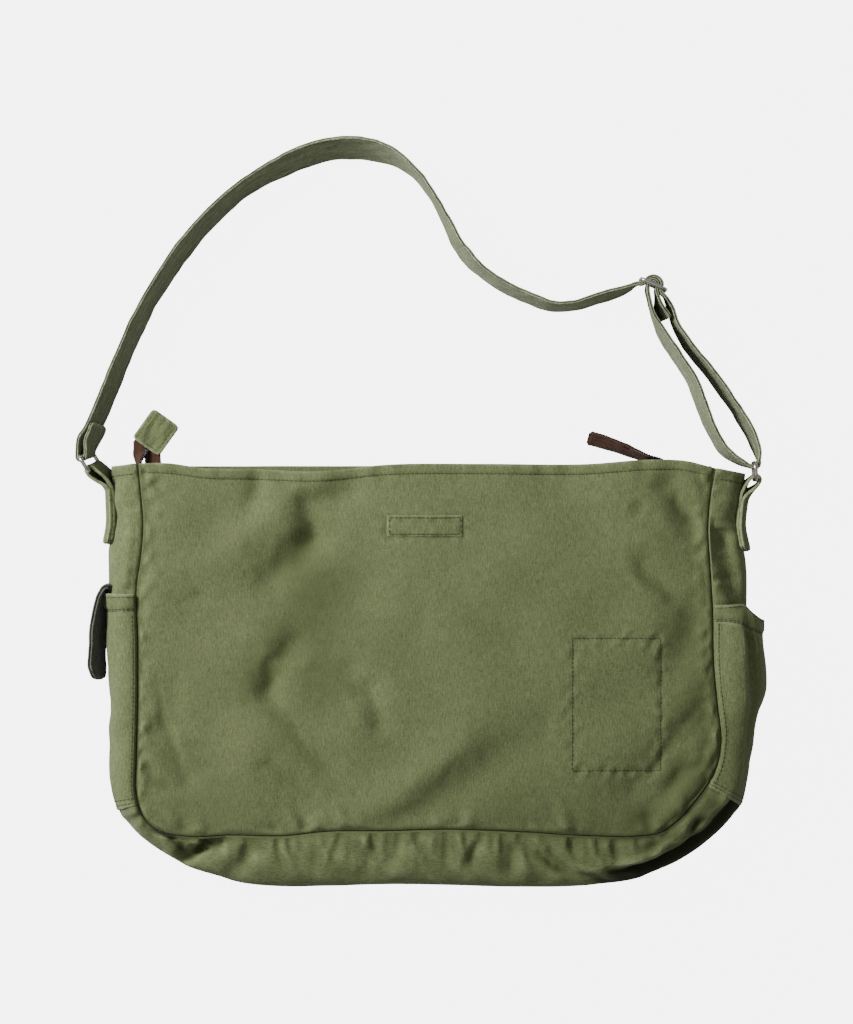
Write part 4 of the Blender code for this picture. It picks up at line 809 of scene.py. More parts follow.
OBJECTS = bpy.data.collections.new("bag_looks")
bpy.context.scene.collection.children.link(OBJECTS)


def put(mesh, material):
    """Adds a mesh as a piece that rides with the bag, in the finish given."""
    mesh.materials.append(material)
    piece = bpy.data.objects.new(mesh.name, mesh)
    OBJECTS.objects.link(piece)
    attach(piece, "root")
    return piece


def mesh_from(name, points, faces, uv=None, worn_and_shaded=None):
    """A smooth mesh from points and faces, with the cloth's own flat coordinates and its wear and
    painted shade.
    """
    mesh = bpy.data.meshes.new(name)
    faces = faces if isinstance(faces, list) else faces.tolist()
    mesh.from_pydata(np.asarray(points).reshape(-1, 3).tolist(), [], faces)
    mesh.shade_smooth()
    if uv is not None:
        corner = np.zeros(len(mesh.loops), int)
        mesh.loops.foreach_get("vertex_index", corner)
        layer = mesh.uv_layers.new(name="cloth")
        layer.data.foreach_set("uv", np.asarray(uv, np.float32).reshape(-1, 2)[corner].ravel())
    if worn_and_shaded is not None:
        wear_and_shade = mesh.attributes.new("wear_and_shade", "FLOAT", "POINT")
        wear_and_shade.data.foreach_set("value", np.asarray(worn_and_shaded, np.float32).ravel())
    return mesh


def grid_faces(rows, columns, closed=False):
    """Four-sided faces of a grid of points; closed joins its last column to its first."""
    numbers = np.arange(rows * columns).reshape(rows, columns)
    if closed:
        numbers = np.concatenate([numbers, numbers[:, :1]], axis=1)
    a, b, c, d = numbers[:-1, :-1], numbers[:-1, 1:], numbers[1:, 1:], numbers[1:, :-1]
    return np.stack([a, b, c, d], axis=-1).reshape(-1, 4)


def end_caps(rows, columns):
    """Faces that close a tube of points at its first and its last row."""
    return [list(range(columns))[::-1], list(range((rows - 1) * columns, rows * columns))]


def flat_uv(points):
    """Flat coordinates of a grid of cloth: distances along its middle row and middle column."""
    across = distances(points[len(points) // 2])
    down = distances(points[:, points.shape[1] // 2])
    return np.stack(np.broadcast_arrays(across[None], down[:, None]), axis=-1)


def thicken(piece, thickness, offset=-1.0, thin=None, bevel=0.0):
    """Gives a sheet of cloth its thickness. thin lists the points of single canvas on a hemmed
    piece, and bevel rounds its cut edges."""
    wall = piece.modifiers.new("thickness", "SOLIDIFY")
    wall.thickness = thickness
    wall.offset = offset
    wall.use_even_offset = True
    wall.use_quality_normals = True
    if thin is not None:
        group = piece.vertex_groups.new(name="hem")
        for weight, chosen in ((1.0, ~thin), (CANVAS / thickness, thin)):
            group.add(np.flatnonzero(chosen).tolist(), weight, "REPLACE")
        wall.vertex_group = "hem"
    if bevel:
        round_off = piece.modifiers.new("rounded_edge", "BEVEL")
        round_off.width = bevel
        round_off.segments = 2
        round_off.limit_method = "ANGLE"
        round_off.angle_limit = math.radians(60)
    return piece


def skirt(at, rings):
    """Rings of points that turn a panel's edge into its seam: each is (inwards, height), where
    inwards is from the panel's side of the seam."""
    here = seam(at)
    return [
        np.column_stack([here["plan"] - here["out"] * (SEAM_EDGE + inwards),
                         np.broadcast_to(height, len(at))])
        for inwards, height in rings
    ]


# The body

# Columns and rows of the front panel, the rows closer together over the hem and its stitches
FRONT_U = np.linspace(0.0, 1.0, 241)
FRONT_HEM = np.array([0, 1.2, 2.6, 4.2, 5.8, 7.0, 7.8]) / 1000 / PANEL_HEIGHT
FRONT_V = np.concatenate(
    [FRONT_HEM, np.array([8.6, 10.0]) / 1000 / PANEL_HEIGHT, np.linspace(0.0415, 1.0, 144)]
)


def seam_at_edges(u, v):
    """Distances along the seam of a panel's left, lower and right edge, in one run."""
    base = LEFT_RUN + u[1:-1] * (RIGHT_RUN - LEFT_RUN)
    return np.concatenate([v * LEFT_RUN, base, (RUN_END - v * (RUN_END - RIGHT_RUN))[::-1]])


def make_panel(name, points, worn_and_shaded, rings, hem_rows, material, flip=False):
    """A panel whose left, lower and right edge go on in rings of points, one after another. Its
    first rows are the hem. flip turns its faces over."""
    rows, columns = worn_and_shaded.shape
    numbers = np.arange(rows * columns).reshape(rows, columns)
    edge = np.concatenate([numbers[:, 0], numbers[-1, 1:-1], numbers[::-1, -1]])
    count = len(edge)
    lines = [edge] + [rows * columns + i * count + np.arange(count) for i in range(len(rings))]
    faces = [grid_faces(rows, columns)]
    for a, b in zip(lines[:-1], lines[1:]):
        faces.append(np.stack([a[:-1], a[1:], b[1:], b[:-1]], axis=1))
    faces = np.concatenate(faces)
    uv = points[..., :2].reshape(-1, 2)
    # The rings turned into the seam are darkened as painted shade
    mesh = mesh_from(
        name,
        np.concatenate([points.reshape(-1, 3), *rings]),
        faces[:, ::-1] if flip else faces,
        np.concatenate([uv] + [uv[edge]] * len(rings)),
        np.concatenate([worn_and_shaded.ravel(), np.full(count * len(rings), SEAM_SHADE)]),
    )
    thin = np.arange(len(mesh.vertices)) >= hem_rows * columns
    return thicken(put(mesh, material), HEM_THICKNESS, thin=thin, bevel=0.0007)


def make_front(material):
    """The front panel, its edge turned down into the seam. Returns its outer points."""
    points, worn_and_shaded = front_cloth(FRONT_U, FRONT_V)
    at = seam_at_edges(FRONT_U, FRONT_V)
    top = seam(at)["height"]
    rings = [(FINE_ROLL * (1 - math.sin(a)), top - FINE_ROLL * (1 - math.cos(a)))
             for a in np.radians((30, 60, 90))]
    rings = skirt(at, rings + [(0, top - (FINE_ROLL + SEAM_ALLOWANCE))])
    piece = make_panel("front_cloth", points, worn_and_shaded, rings, len(FRONT_HEM), material, flip=True)
    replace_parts(piece, "front_panel")
    return points


def make_back(material):
    """The back panel: flat on the floor with a few soft hollows, its edge turned up at the seam."""
    hem = [0, 0.012, 0.028]
    u, v = np.linspace(0, 1, 121), np.concatenate([hem, np.linspace(0.04, 1, 76)])
    points = front_at(u, v)
    x, y = points[..., 0].copy(), points[..., 1].copy()
    y += (1 - v[:, None]) ** 12 * (BACK_MOUTH - points[0, :, 1])[None]
    lift = 0.0011 * np.maximum(ripples(x, y, 0.085, 21), 0)
    lift += 0.0003 * np.maximum(ripples(x, y, 0.022, 22), 0)
    side = np.minimum(u, 1 - u)[None] * PANEL_WIDTH
    base = (1 - v)[:, None] * PANEL_HEIGHT
    calm = smoothstep(side / 0.012) * smoothstep(base / 0.012) * smoothstep(v[:, None] / 0.05)
    points = np.dstack([x, y, lift * calm])
    worn_and_shaded = np.maximum(bell(side, 0.003), bell(base, 0.003))
    rings = skirt(seam_at_edges(u, v), [
        (FINE_ROLL * 0.5, 0.0002), (FINE_ROLL * 0.13, 0.0006), (0, FINE_ROLL),
        (0, FINE_ROLL + SEAM_ALLOWANCE)])
    piece = make_panel("back_cloth", points, worn_and_shaded, rings, len(hem), material)
    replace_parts(piece, "back_panel")


BAND_ANGLES = 90 - 180 * np.linspace(0, 1, 41)


def make_band_piece(name, node, at, material, hem=None, raised=None):
    """A gusset or the base, its edges turned into the seams. hem is the row at its mouth, and
    raised how far each row is lifted off the surface. Returns its outer points."""
    points, worn_and_shaded = band_cloth(at, BAND_ANGLES)
    if hem is not None:
        off = np.abs(at - at[hem])
        points += outwards(points) * hem_relief(off)[:, None, None]
        # Painted shade in the groove of the mouth's stitches
        worn_and_shaded = worn_and_shaded - 0.30 * bell(off - RIM_STITCHES, 0.0009)[:, None]
    if raised is not None:
        points += outwards(points) * raised[:, None, None]
        points[..., 2] = np.maximum(points[..., 2], 0.0)
    top = seam(at)["height"]
    heights = (top - FINE_ROLL - SEAM_ALLOWANCE, top - FINE_ROLL, FINE_ROLL,
               FINE_ROLL + SEAM_ALLOWANCE)
    past_seam = -2 * SEAM_EDGE
    rings = [ring[:, None] for ring in skirt(at, [(past_seam, height) for height in heights])]
    rows = np.concatenate([*rings[:2], points, *rings[2:]], axis=1)
    worn_and_shaded = np.pad(worn_and_shaded, ((0, 0), (2, 2)), mode="edge")
    if hem is not None:
        worn_and_shaded = np.maximum(worn_and_shaded, bell(off, 0.0016)[:, None])
    mesh = mesh_from(name, rows, grid_faces(*rows.shape[:2]), flat_uv(rows), worn_and_shaded)
    piece = put(mesh, material)
    if hem is None:
        thicken(piece, CANVAS, bevel=0.0004)
    else:
        thin = np.repeat(off > HEM_DEPTH, rows.shape[1])
        thicken(piece, HEM_THICKNESS, thin=thin, bevel=0.0006)
    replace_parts(piece, node)
    return points


def make_band(material):
    """Both side gussets and the base. Returns each gusset's distances along the seam and points."""
    near = np.array([0, 1.5, 3.5, 5.5, 7.6, 8.6]) / 1000
    left = np.concatenate([near, np.linspace(0.0105, LEFT_RUN - CLEARANCE, 120)])
    right = np.concatenate([near, np.linspace(0.0105, RUN_END - RIGHT_RUN - CLEARANCE, 120)])
    right = RUN_END - right[::-1]
    base = np.linspace(LEFT_RUN - LAP, RIGHT_RUN + LAP, 300)
    from_end = np.minimum(base - base[0], base[-1] - base)
    raised = LAP_RISE * (1 - smoothstep((from_end - LAP) / 0.006))
    made = [
        (left, make_band_piece("left_side_cloth", "side_gusset_left", left, material, hem=0)),
        (right, make_band_piece("right_side_cloth", "side_gusset_right", right, material, hem=-1)),
    ]
    make_band_piece("base_cloth", "base_panel", base, material, raised=raised)
    return made


# What is sewn to the sides


def over_side(side, at, steps, off):
    """Places over a side at distances along the seam (rows) and at steps of the solid's gusset from
    the front seam (columns), moved out of its surface by off."""
    points = band_at(at, 90 - 180 / BAND_STEPS * np.asarray(steps, float))
    return points + outwards(points, np.sign(at[-1] - at[0])) * off[..., None]


def make_pocket(name, node, side, material):
    """A patch pocket that lies on the side along its edges and stands off it at its mouth, with a
    thicker hem at its mouth, soft creases across it and puckers at its foot. Returns its points and
    the distance of each row from the mouth."""
    mouth, foot = side_at(side, [POCKETS["mouth"][side], POCKETS["foot"][side]])
    length = abs(foot - mouth)
    down = np.concatenate([np.array([0, 1.3, 3.2, 5.4, 7.6, 9.6, 11.0, 12.2]) / 1000 / length,
                           np.linspace(0.095, 1.0, 76)])[:, None]
    below, above = down * length, (1 - down) * length
    steps = np.linspace(0.0, POCKET_STEPS, 41)
    share = steps[None] / POCKET_STEPS
    bulge = np.maximum(np.sin(np.pi * share), 0.0) ** 0.8
    kept = 1 - smoothstep(down / 0.95)
    if side == 1:
        kept = (0.76 + 0.30 * smoothstep(down / 0.40)) * (1 - smoothstep((down - 0.34) / 0.52))
    off = CANVAS + CLEARANCE + POCKET_PUFF[side] * bulge * kept
    hem = 1 - smoothstep((below - POCKET_HEM_DEPTH + 0.0008) / 0.0016)
    off = off + (POCKET_HEM - CANVAS) * hem - 0.0004 * bell(below - POCKET_STITCHES[1], 0.0012)
    around = share * POCKET_WIDTH
    off = off + 0.0009 * bulge * ripples(around, below, 0.045, 31 + side)
    off = off + 0.0004 * bulge * ripples(around, below * 0.6, 0.017, 33 + side)
    off = off + 0.0007 * bell(above, 0.012) * ripples(around, 0 * down, 0.011, 35) * bulge
    if side == 1:
        crease = smoothstep(down / 0.15) * (1 - down)
        off = off - 0.0052 * crease * bell(share - 0.31 - 0.05 * down, 0.045)
        off = off + 0.0014 * crease * bell(share - 0.24 - 0.05 * down, 0.020)
    at = mouth + (foot - mouth) * down[:, 0]
    rows = over_side(side, at, steps, np.maximum(off, CANVAS))
    outer = np.maximum(np.sin(np.pi * np.minimum(share, 0.5)), 0.0) ** 3.6
    rows[..., 1] -= POCKETS["drop"][side] * PANEL_HEIGHT / 2 * outer * (1 - down) ** 2
    rows[..., 2] = np.maximum(rows[..., 2], CLEARANCE)
    edge = np.minimum(share, 1 - share) * POCKET_WIDTH
    worn_and_shaded = 0.9 * bell(below, 0.0018) + 0.5 * bell(below - 0.0138, 0.0014)
    # Painted shade in the grooves of the hem's stitches
    for row, deep, width in zip(POCKET_STITCHES[1:], (0.6, 0.6), (0.0009, 0.0006)):
        worn_and_shaded = worn_and_shaded - deep * bell(below - row, width)
    worn_and_shaded = np.maximum(worn_and_shaded, 0.8 * bell(above, 0.003))
    worn_and_shaded = worn_and_shaded + 0.35 * bell(edge, 0.0010) * patchy(below, 0.02, 66)
    # Painted shade in the groove of the edge stitches
    worn_and_shaded = worn_and_shaded - 0.6 * bell(edge - 0.0024, 0.0008)
    if side == 1:
        # A pale worn ridge beside the crease, and painted shade in the crease
        worn_and_shaded = worn_and_shaded + crease * (0.5 * bell(share - 0.26 - 0.05 * down, 0.012)
                                - 0.7 * bell(share - 0.34 - 0.05 * down, 0.06))
    faces = grid_faces(*rows.shape[:2])[:, ::(1, -1)[side]]
    mesh = mesh_from(name, rows, faces, flat_uv(rows), np.clip(worn_and_shaded, -1, 1))
    piece = put(mesh, material)
    thin = np.repeat(below[:, 0] > POCKET_HEM_DEPTH, rows.shape[1])
    thicken(piece, POCKET_HEM, thin=thin, bevel=0.0006)
    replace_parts(piece, node)
    return rows, below[:, 0]


def corner_width(from_end, corner, width):
    """Share of a band's width that is left near its end: its corners are quarter circles."""
    short = np.clip(corner - from_end, 0, corner)
    return 1 - (corner - np.sqrt(corner**2 - short**2)) / (width / 2)


def make_tab(name, node, side, material):
    """The doubled tab that is sewn to the side and wrapped round its ring's lower bar. Returns its
    rows of points."""
    ring = RING[side]
    top = RINGS["tab_top"][side]
    foot = top - TAB_SEWN / (PANEL_HEIGHT / 2)
    from_edge = np.array([0.0, 0.0007, 0.0014, 0.0021, 0.0028, 0.0038])
    shares = np.concatenate([0.5 - from_edge / TAB_WIDTH, np.linspace(0.30, -0.30, 7),
                             (from_edge / TAB_WIDTH - 0.5)[::-1]])
    steps = BAND_STEPS / 2 + TAB_BACK - 2 * TAB_SPREAD * shares
    at = side_at(side, np.linspace(foot, top, 26))
    off = np.full((len(at), len(shares)), 2 * CLEARANCE + TAB_THICKNESS / 2)
    inner = over_side(side, at, steps, off)
    outer = over_side(side, at, steps, off + CLEARANCE + TAB_THICKNESS)[::-1]
    bar = ring.bar(-1)
    way = bar - inner[-1].mean(axis=0)
    heading = math.degrees(math.atan2(way[1], way[0]))
    quarter = (-90.0, 90.0)[side]
    loop = turn_round(bar, ring.axis, TAB_TURN, heading + quarter, heading - quarter)
    looped = ribbon(loop, np.tile(ring.axis, (len(loop), 1)), TAB_WIDTH, shares)
    rows = section_spline(np.concatenate([inner, looped, outer]), TAB_STEP)
    edge = (0.5 - np.abs(shares)) * TAB_WIDTH
    tip = np.minimum(np.arange(len(rows)), np.arange(len(rows))[::-1]) * TAB_STEP
    centre = rows[:, len(shares) // 2][:, None]
    rows = centre + (rows - centre) * corner_width(tip, TAB_CORNER, TAB_WIDTH)[:, None, None]
    groove = bell(edge - 0.0021, 0.0007)
    rows = rows - outwards(rows, (-1, 1)[side]) * 0.0003 * groove[None, :, None]
    # Pale worn edges, less painted shade in the groove of the stitches
    worn_and_shaded = np.maximum(bell(edge, 0.0013)[None], bell(tip, 0.0013)[:, None]) - 0.45 * groove[None]
    mesh = mesh_from(name, rows, grid_faces(*rows.shape[:2]), flat_uv(rows), worn_and_shaded)
    piece = thicken(put(mesh, material), TAB_THICKNESS, offset=0.0, bevel=0.0006)
    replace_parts(piece, node)
    return rows


# Bands of folded cloth


def across_band(width, thickness, stitched):
    """Section of a folded band: places across it and half its thickness there. Each edge is two
    folds of cloth with a notch between them, and each face dips under its row of stitches."""
    near = [0.0014, 0.0004, 0.0, 0.0003, 0.0010, stitched - 0.0006, stitched, stitched + 0.0006]
    near = np.array(near + [stitched + 0.0014])
    high = np.array([0.0, 0.24, 0.58, 0.88, 1.0, 0.95, 0.78, 0.95, 1.0])
    inner = np.linspace(-1, 1, 19) * (width / 2 - near[-1] - 0.0009)
    place = np.concatenate([near - width / 2, inner, (width / 2 - near)[::-1]])
    return place, thickness / 2 * np.concatenate([high, np.ones(len(inner)), high[::-1]])


def band_rows(rows, width, thickness, step, wave, seed=41, corner=0.0, stitched=EDGE_STITCHES,
              swell=None):
    """Surface of a band of cloth whose three lines of points across are given: at each place a
    closed section, its two faces apart by the thickness. Ends are rounded off as a quarter circle,
    and their corners too. swell gives how many times thicker and wider the band is at each distance
    along it."""
    rows = section_spline(rows, step)
    middle = rows[:, 1]
    upright = unit(rows[:, 2] - rows[:, 0])
    through = unit(np.cross(np.gradient(middle, axis=0), upright))
    run = distances(middle)
    place, half = across_band(width, thickness, stitched)
    near_end = np.minimum(run, run[-1] - run)
    ends = np.sqrt(np.clip(1 - (1 - near_end / (0.6 * thickness)).clip(0) ** 2, 0.04, 1))
    wide = corner_width(near_end, corner, width)
    if swell is not None:
        thicker, wider = swell(run)
        ends, wide = ends * thicker, wide * wider
    down, across = run[:, None], place[None]
    bend = wave * ripples(down, across * 1.5, 0.030, seed)
    bend = bend + 0.4 * wave * ripples(down, across, 0.011, seed + 1)
    bend = bend + 0.5 * wave * ripples(down * 0.25, across, 0.007, seed + 2)
    front = middle[:, None] + upright[:, None] * (across * wide[:, None])[..., None]
    front = front + through[:, None] * bend[..., None]
    lift = through[:, None] * (half[None] * ends[:, None])[..., None]
    section = np.concatenate([front + lift, (front - lift)[:, -2:0:-1]], axis=1)
    return {"section": section, "run": run, "place": place, "half": half, "upright": upright,
            "through": through, "middle": middle, "bend": bend, "wide": wide}


def band_mesh(name, band, worn_edge=0.0020, stitched=EDGE_STITCHES):
    """Closed mesh of a band from its sections, both ends closed."""
    count, around = band["section"].shape[:2]
    faces = [face[::-1] for face in grid_faces(count, around, closed=True).tolist()]
    run, place = band["run"], np.concatenate([band["place"], band["place"][-2:0:-1]])
    from_edge = place.max() - np.abs(place)
    worn_and_shaded = bell(from_edge, worn_edge)[None] * (0.65 + 0.35 * patchy(run, 0.03, 65)[:, None])
    # Painted shade in the groove of the edge stitches
    worn_and_shaded = worn_and_shaded - 0.55 * bell(from_edge - stitched, 0.0007)[None]
    worn_and_shaded = np.maximum(worn_and_shaded, bell(np.minimum(run, run[-1] - run), 0.002)[:, None])
    # Painted shade in the notch between the two folds of each edge
    last = len(band["place"]) - 1
    worn_and_shaded[:, [0, last]] = -1.0
    worn_and_shaded[:, [1, last - 1, last + 1, -1]] -= 0.9
    uv = np.stack(np.broadcast_arrays(place[None], run[:, None]), axis=-1)
    return mesh_from(name, band["section"], faces + end_caps(count, around), uv, worn_and_shaded)


def strap_rows():
    """Three lines of points across the strap, in the order that it runs: sewn back on itself round
    the left ring, over the arc, round the slider's middle bar, down through the right ring and back
    up to the middle bar inside the first turn."""
    bars = [RING[0].bar(1), RING[1].bar(1), SLIDER.middle]
    middles, uprights = [], []

    def free(rows, place):
        """Adds a free stretch of the strap, by its rows of places and lean."""
        first, second, lean = rows.values()
        middle, upright = strap_stretch(place(first, second), lean, bars)
        middles.append(middle)
        uprights.append(upright)

    def turn(centre, axis, radius, start, end):
        """Adds an arc of the strap round a bar, without a first point that is there already."""
        points = turn_round(centre, axis, radius, start, end)
        if middles and np.linalg.norm(middles[-1][-1] - points[0]) < 1e-6:
            points = points[1:]
        middles.append(points)
        uprights.append(np.tile(axis, (len(points), 1)))

    free(SEWN_END, strap_place)
    turn(RING[0].bar(1), RING[0].axis, STRAP_TURN, *SEWN_TURN)
    free(ARC, arc_place)
    way = SLIDER.turn
    turn(SLIDER.bar(-1), UP, STRAP_TURN, way - 90, way)
    turn(SLIDER.middle, UP, STRAP_OUTER_TURN, way + 180, way)
    turn(SLIDER.bar(1), UP, STRAP_TURN, way + 180, way + 270)
    free(OUTER_LEG, leg_place)
    turn(RING[1].bar(1), RING[1].axis, STRAP_TURN, *OUTER_TURN)
    free(INNER_LEG, leg_place)
    turn(SLIDER.middle, UP, STRAP_TURN, way + TAIL_TURN[0], way + TAIL_TURN[1])
    free(TAIL, leg_place)
    return ribbon(np.concatenate(middles), np.concatenate(uprights), STRAP_WIDTH, (-0.5, 0.0, 0.5))


def flap_rows():
    """Three lines of points across the left pocket's flap."""
    mouth = POCKETS["mouth"][0]
    at = side_at(0, [mouth, mouth - 0.1])
    start = over_side(0, at, (BAND_STEPS / 2, BAND_STEPS / 2 + 1), np.zeros((2, 2)))[0, 0]
    middle = np.column_stack(
        [start[0] + FLAP_IN - FLAP["out"] * FLAP_REACH, start[1] - FLAP["down"] * FLAP_LENGTH,
         np.full(len(FLAP["out"]), FLAP_HEIGHT)]
    )
    middle[-2:, 1] -= (0.0015, 0.0040)
    lean = np.radians(FLAP["lean"])[:, None]
    upright = np.cos(lean) * UP - np.sin(lean) * np.array([1.0, 0.0, 0.0])
    return ribbon(middle, upright, FLAP_WIDTH, (-0.5, 0.0, 0.5))


def zip_tab_rows():
    """Three lines of points across the tab over the zip's closed end: even steps along its turned
    middle line, at half the width to either side, in the height just above the teeth."""
    below = ZIP_CLOSED_FRONT["height"][0] * SEAM_HEIGHT + TEETH_THICKNESS / 2
    middle = np.array([*panel_point(*ZIP_TAB_MIDDLE), below + CLEARANCE + ZIP_TAB_THICKNESS / 2])
    way = plan_way(ZIP_TAB_TURN)
    across = plan_way(ZIP_TAB_TURN + 90)
    line = middle + np.linspace(-0.5, 0.5, 5)[:, None] * way * ZIP_TAB_LONG
    return ribbon(line, np.tile(across, (5, 1)), ZIP_TAB_WIDE, (-0.5, 0.0, 0.5))


def tape_rows():
    """The two edges of the front and of the back tape, the sewn edge first."""
    u = np.arange(6, 30, 3) / BASE_COLUMNS
    rim, inner = front_at(u, [0.0, 0.0866])
    inwards = unit(inner - rim)
    below = np.cross(unit(np.gradient(rim, axis=0)), inwards)
    sewn = rim + inwards * HEM_DEPTH / 4 + below * (HEM_THICKNESS + TAPE_DROP)
    along = np.stack([sewn, sewn + inwards * TAPE_WIDTH], axis=1)
    front = np.concatenate([zip_rows(ZIP_CLOSED_FRONT, -1), along, zip_rows(ZIP_LOOSE_END, -1)])
    ends = panel_point(SEAM["x"][[0, -1]], SEAM["y"][[0, -1]])
    plan = ends[0] + np.linspace(0.09, 0.95, 9)[:, None] * (ends[1] - ends[0])
    height = np.full((len(plan), 1), HEM_THICKNESS + 4 * CLEARANCE + TEETH_THICKNESS / 2)
    sewn = np.column_stack([plan - (0.0, BACK_TAPE_DOWN), height])
    along = np.stack([sewn, sewn - (0.0, TAPE_WIDTH, 0.0)], axis=1)
    back = np.concatenate([zip_rows(ZIP_CLOSED_BACK, 1), along])
    # The tapes meet at the closed end, and the loose end drops from the mouth
    together = np.array([1.0, 1.0, 0.6, 0.2])[:, None]
    front[:4, :, 0] -= together * (0.0035, 0.0024)
    back[:4, :, 0] += together * (0.0030, 0.0028)
    front[-4:, :, 1] -= np.array([0.2, 0.6, 1.0, 1.0])[:, None] * 0.0020
    return {"front": front, "back": back}


# Thread, wire and teeth


def repeated(shape_points, shape_faces, places, frames):
    """Copies of a small shape: its points are turned by each place's three directions."""
    points = places[:, None] + np.einsum("pk,nkj->npj", shape_points, frames)
    count = len(shape_points)
    faces = [[i + n * count for i in face] for n in range(len(places)) for face in shape_faces]
    return points.reshape(-1, 3), faces


def merged(parts):
    """One list of points and one of faces from several of each."""
    points, faces, count = [], [], 0
    for some_points, some_faces in parts:
        faces += [[i + count for i in face] for face in some_faces]
        points.append(some_points)
        count += len(some_points)
    return np.concatenate(points), faces


def read_along(at, run, values):
    """Rows of three values at distances along a run."""
    return np.column_stack([np.interp(at, run, values[:, i]) for i in range(3)])


def capsule(length, radius, sides=6):
    """A stitch: a short thread, thin at both ends, which dip into the cloth."""
    along = np.array([-0.5, -0.36, 0.0, 0.36, 0.5])
    thick = np.array([0.45, 0.9, 1.0, 0.9, 0.45])
    angle = np.linspace(0, 2 * math.pi, sides, endpoint=False)
    x = along[:, None] * length * np.ones(sides)
    y = radius * thick[:, None] * np.cos(angle)
    z = radius * thick[:, None] * np.sin(angle)
    z = z + radius * (0.5 - 5.5 * np.abs(along[:, None]) ** 2.2)
    size = len(along), sides
    faces = grid_faces(*size, closed=True).tolist() + end_caps(*size)
    return np.stack([x, y, z], axis=-1).reshape(-1, 3), [face[::-1] for face in faces]


def sew(name, rows, material):
    """Rows of stitches in one mesh. Each row is a run of points on the cloth and its normals."""
    shape, parts = capsule(STITCH_LENGTH, THREAD_RADIUS), []
    for path, normals in rows:
        run = distances(path)
        number = max(1, int(run[-1] / STITCH_PITCH))
        at = (np.arange(number) + 0.5) * run[-1] / number
        ahead = read_along(np.minimum(at + STITCH_LENGTH / 2, run[-1]), run, path)
        way = unit(ahead - read_along(np.maximum(at - STITCH_LENGTH / 2, 0), run, path))
        up = read_along(at, run, normals)
        up = unit(up - way * np.sum(up * way, axis=1, keepdims=True))
        frames = np.stack([way, np.cross(up, way), up], axis=1)
        parts.append(repeated(*shape, read_along(at, run, path), frames))
    put(mesh_from(name, *merged(parts)), material)


def tube(middle, normal, radius, sides=14, closed=True):
    """A round wire along a run of points that lies in one plane with the normal given."""
    if closed:
        way = unit(np.roll(middle, -1, axis=0) - np.roll(middle, 1, axis=0))
    else:
        way = unit(np.gradient(middle, axis=0))
    side = np.cross(way, normal)
    angle = np.linspace(0, 2 * math.pi, sides, endpoint=False)[None, :, None]
    points = middle[:, None] + radius * (np.cos(angle) * side[:, None] + np.sin(angle) * normal)
    rows = len(middle)
    faces = grid_faces(rows, sides, closed=True)
    if closed:
        last, first = np.arange(sides) + (rows - 1) * sides, np.arange(sides)
        join = np.stack([last, np.roll(last, -1), np.roll(first, -1), first], axis=1)
        faces = np.concatenate([faces, join])
    return points.reshape(-1, 3), faces.tolist()


def frame_outline(metal, steps=9):
    """Rounded rectangle through the middle of a frame's wire, with short straight stretches."""
    half_long, half_high = metal.spacing / 2, BAR_HALF
    points = []
    for corner, (x, y) in enumerate(((1, 1), (-1, 1), (-1, -1), (1, -1))):
        angle = math.pi / 2 * corner + np.linspace(0, math.pi / 2, steps)
        along = x * (half_long - WIRE_CORNER) + np.cos(angle) * WIRE_CORNER
        high = y * (half_high - WIRE_CORNER) + np.sin(angle) * WIRE_CORNER
        points.append(metal.middle + along[:, None] * metal.way + high[:, None] * metal.axis)
    return np.concatenate(points)


def make_wire(name, node, metal, material, middle_bar=False):
    """A ring or the slider, with or without a bar across its middle."""
    normal = np.cross(metal.way, metal.axis)
    parts = [tube(frame_outline(metal), normal, WIRE / 2)]
    if middle_bar:
        line = metal.middle + np.linspace(-1, 1, 12)[:, None] * metal.axis * BAR_HALF
        parts.append(tube(line, normal, WIRE / 2 * 0.96, closed=False))
    piece = put(mesh_from(name, *merged(parts)), material)
    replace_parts(piece, node)


def loose_end(run):
    """How many times thicker and wider the front tape is where its loose end is folded over."""
    loose = smoothstep((run - run[-1] + 0.058) / 0.012)
    return 1 + 1.7 * loose, 1 + 0.17 * loose


def make_teeth(name, node, rows, material):
    """Separate teeth along a tape's free edge: each a small block with a rounded, wider head."""
    rows = section_spline(rows, 0.001)
    away = unit(rows[:, 1] - rows[:, 0])
    edge = rows[:, 1] + away * CLEARANCE
    run = distances(edge)
    at = np.arange(0.0012, run[-1] - 0.0008, TOOTH_PITCH)
    place = read_along(at, run, edge)
    out = unit(read_along(at, run, away))
    way = np.gradient(place, axis=0)
    way = unit(way - out * np.sum(way * out, axis=1, keepdims=True))
    frames = np.stack([way, out, np.cross(way, out)], axis=1)
    across = np.array([-0.0009, 0.0004, 0.0016, 0.0026, 0.0029])
    wide = np.array([0.45, 0.50, 0.60, 0.55, 0.25]) * TOOTH_PITCH / 1.2
    high = np.array([0.55, 1.0, 1.0, 0.95, 0.5]) * TEETH_THICKNESS / 2
    size = len(across), TOOTH_SIDES
    angle = np.linspace(0, 2 * math.pi, TOOTH_SIDES, endpoint=False) + math.pi / TOOTH_SIDES
    shape = np.stack(
        [np.cos(angle)[None] * wide[:, None], np.broadcast_to(across[:, None], size),
         np.sin(angle)[None] * high[:, None]], axis=-1).reshape(-1, 3)
    faces = grid_faces(*size, closed=True).tolist() + end_caps(*size)
    mesh = mesh_from(name, *repeated(shape, faces, place, frames))
    piece = put(mesh, material)
    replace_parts(piece, node)


# Materials


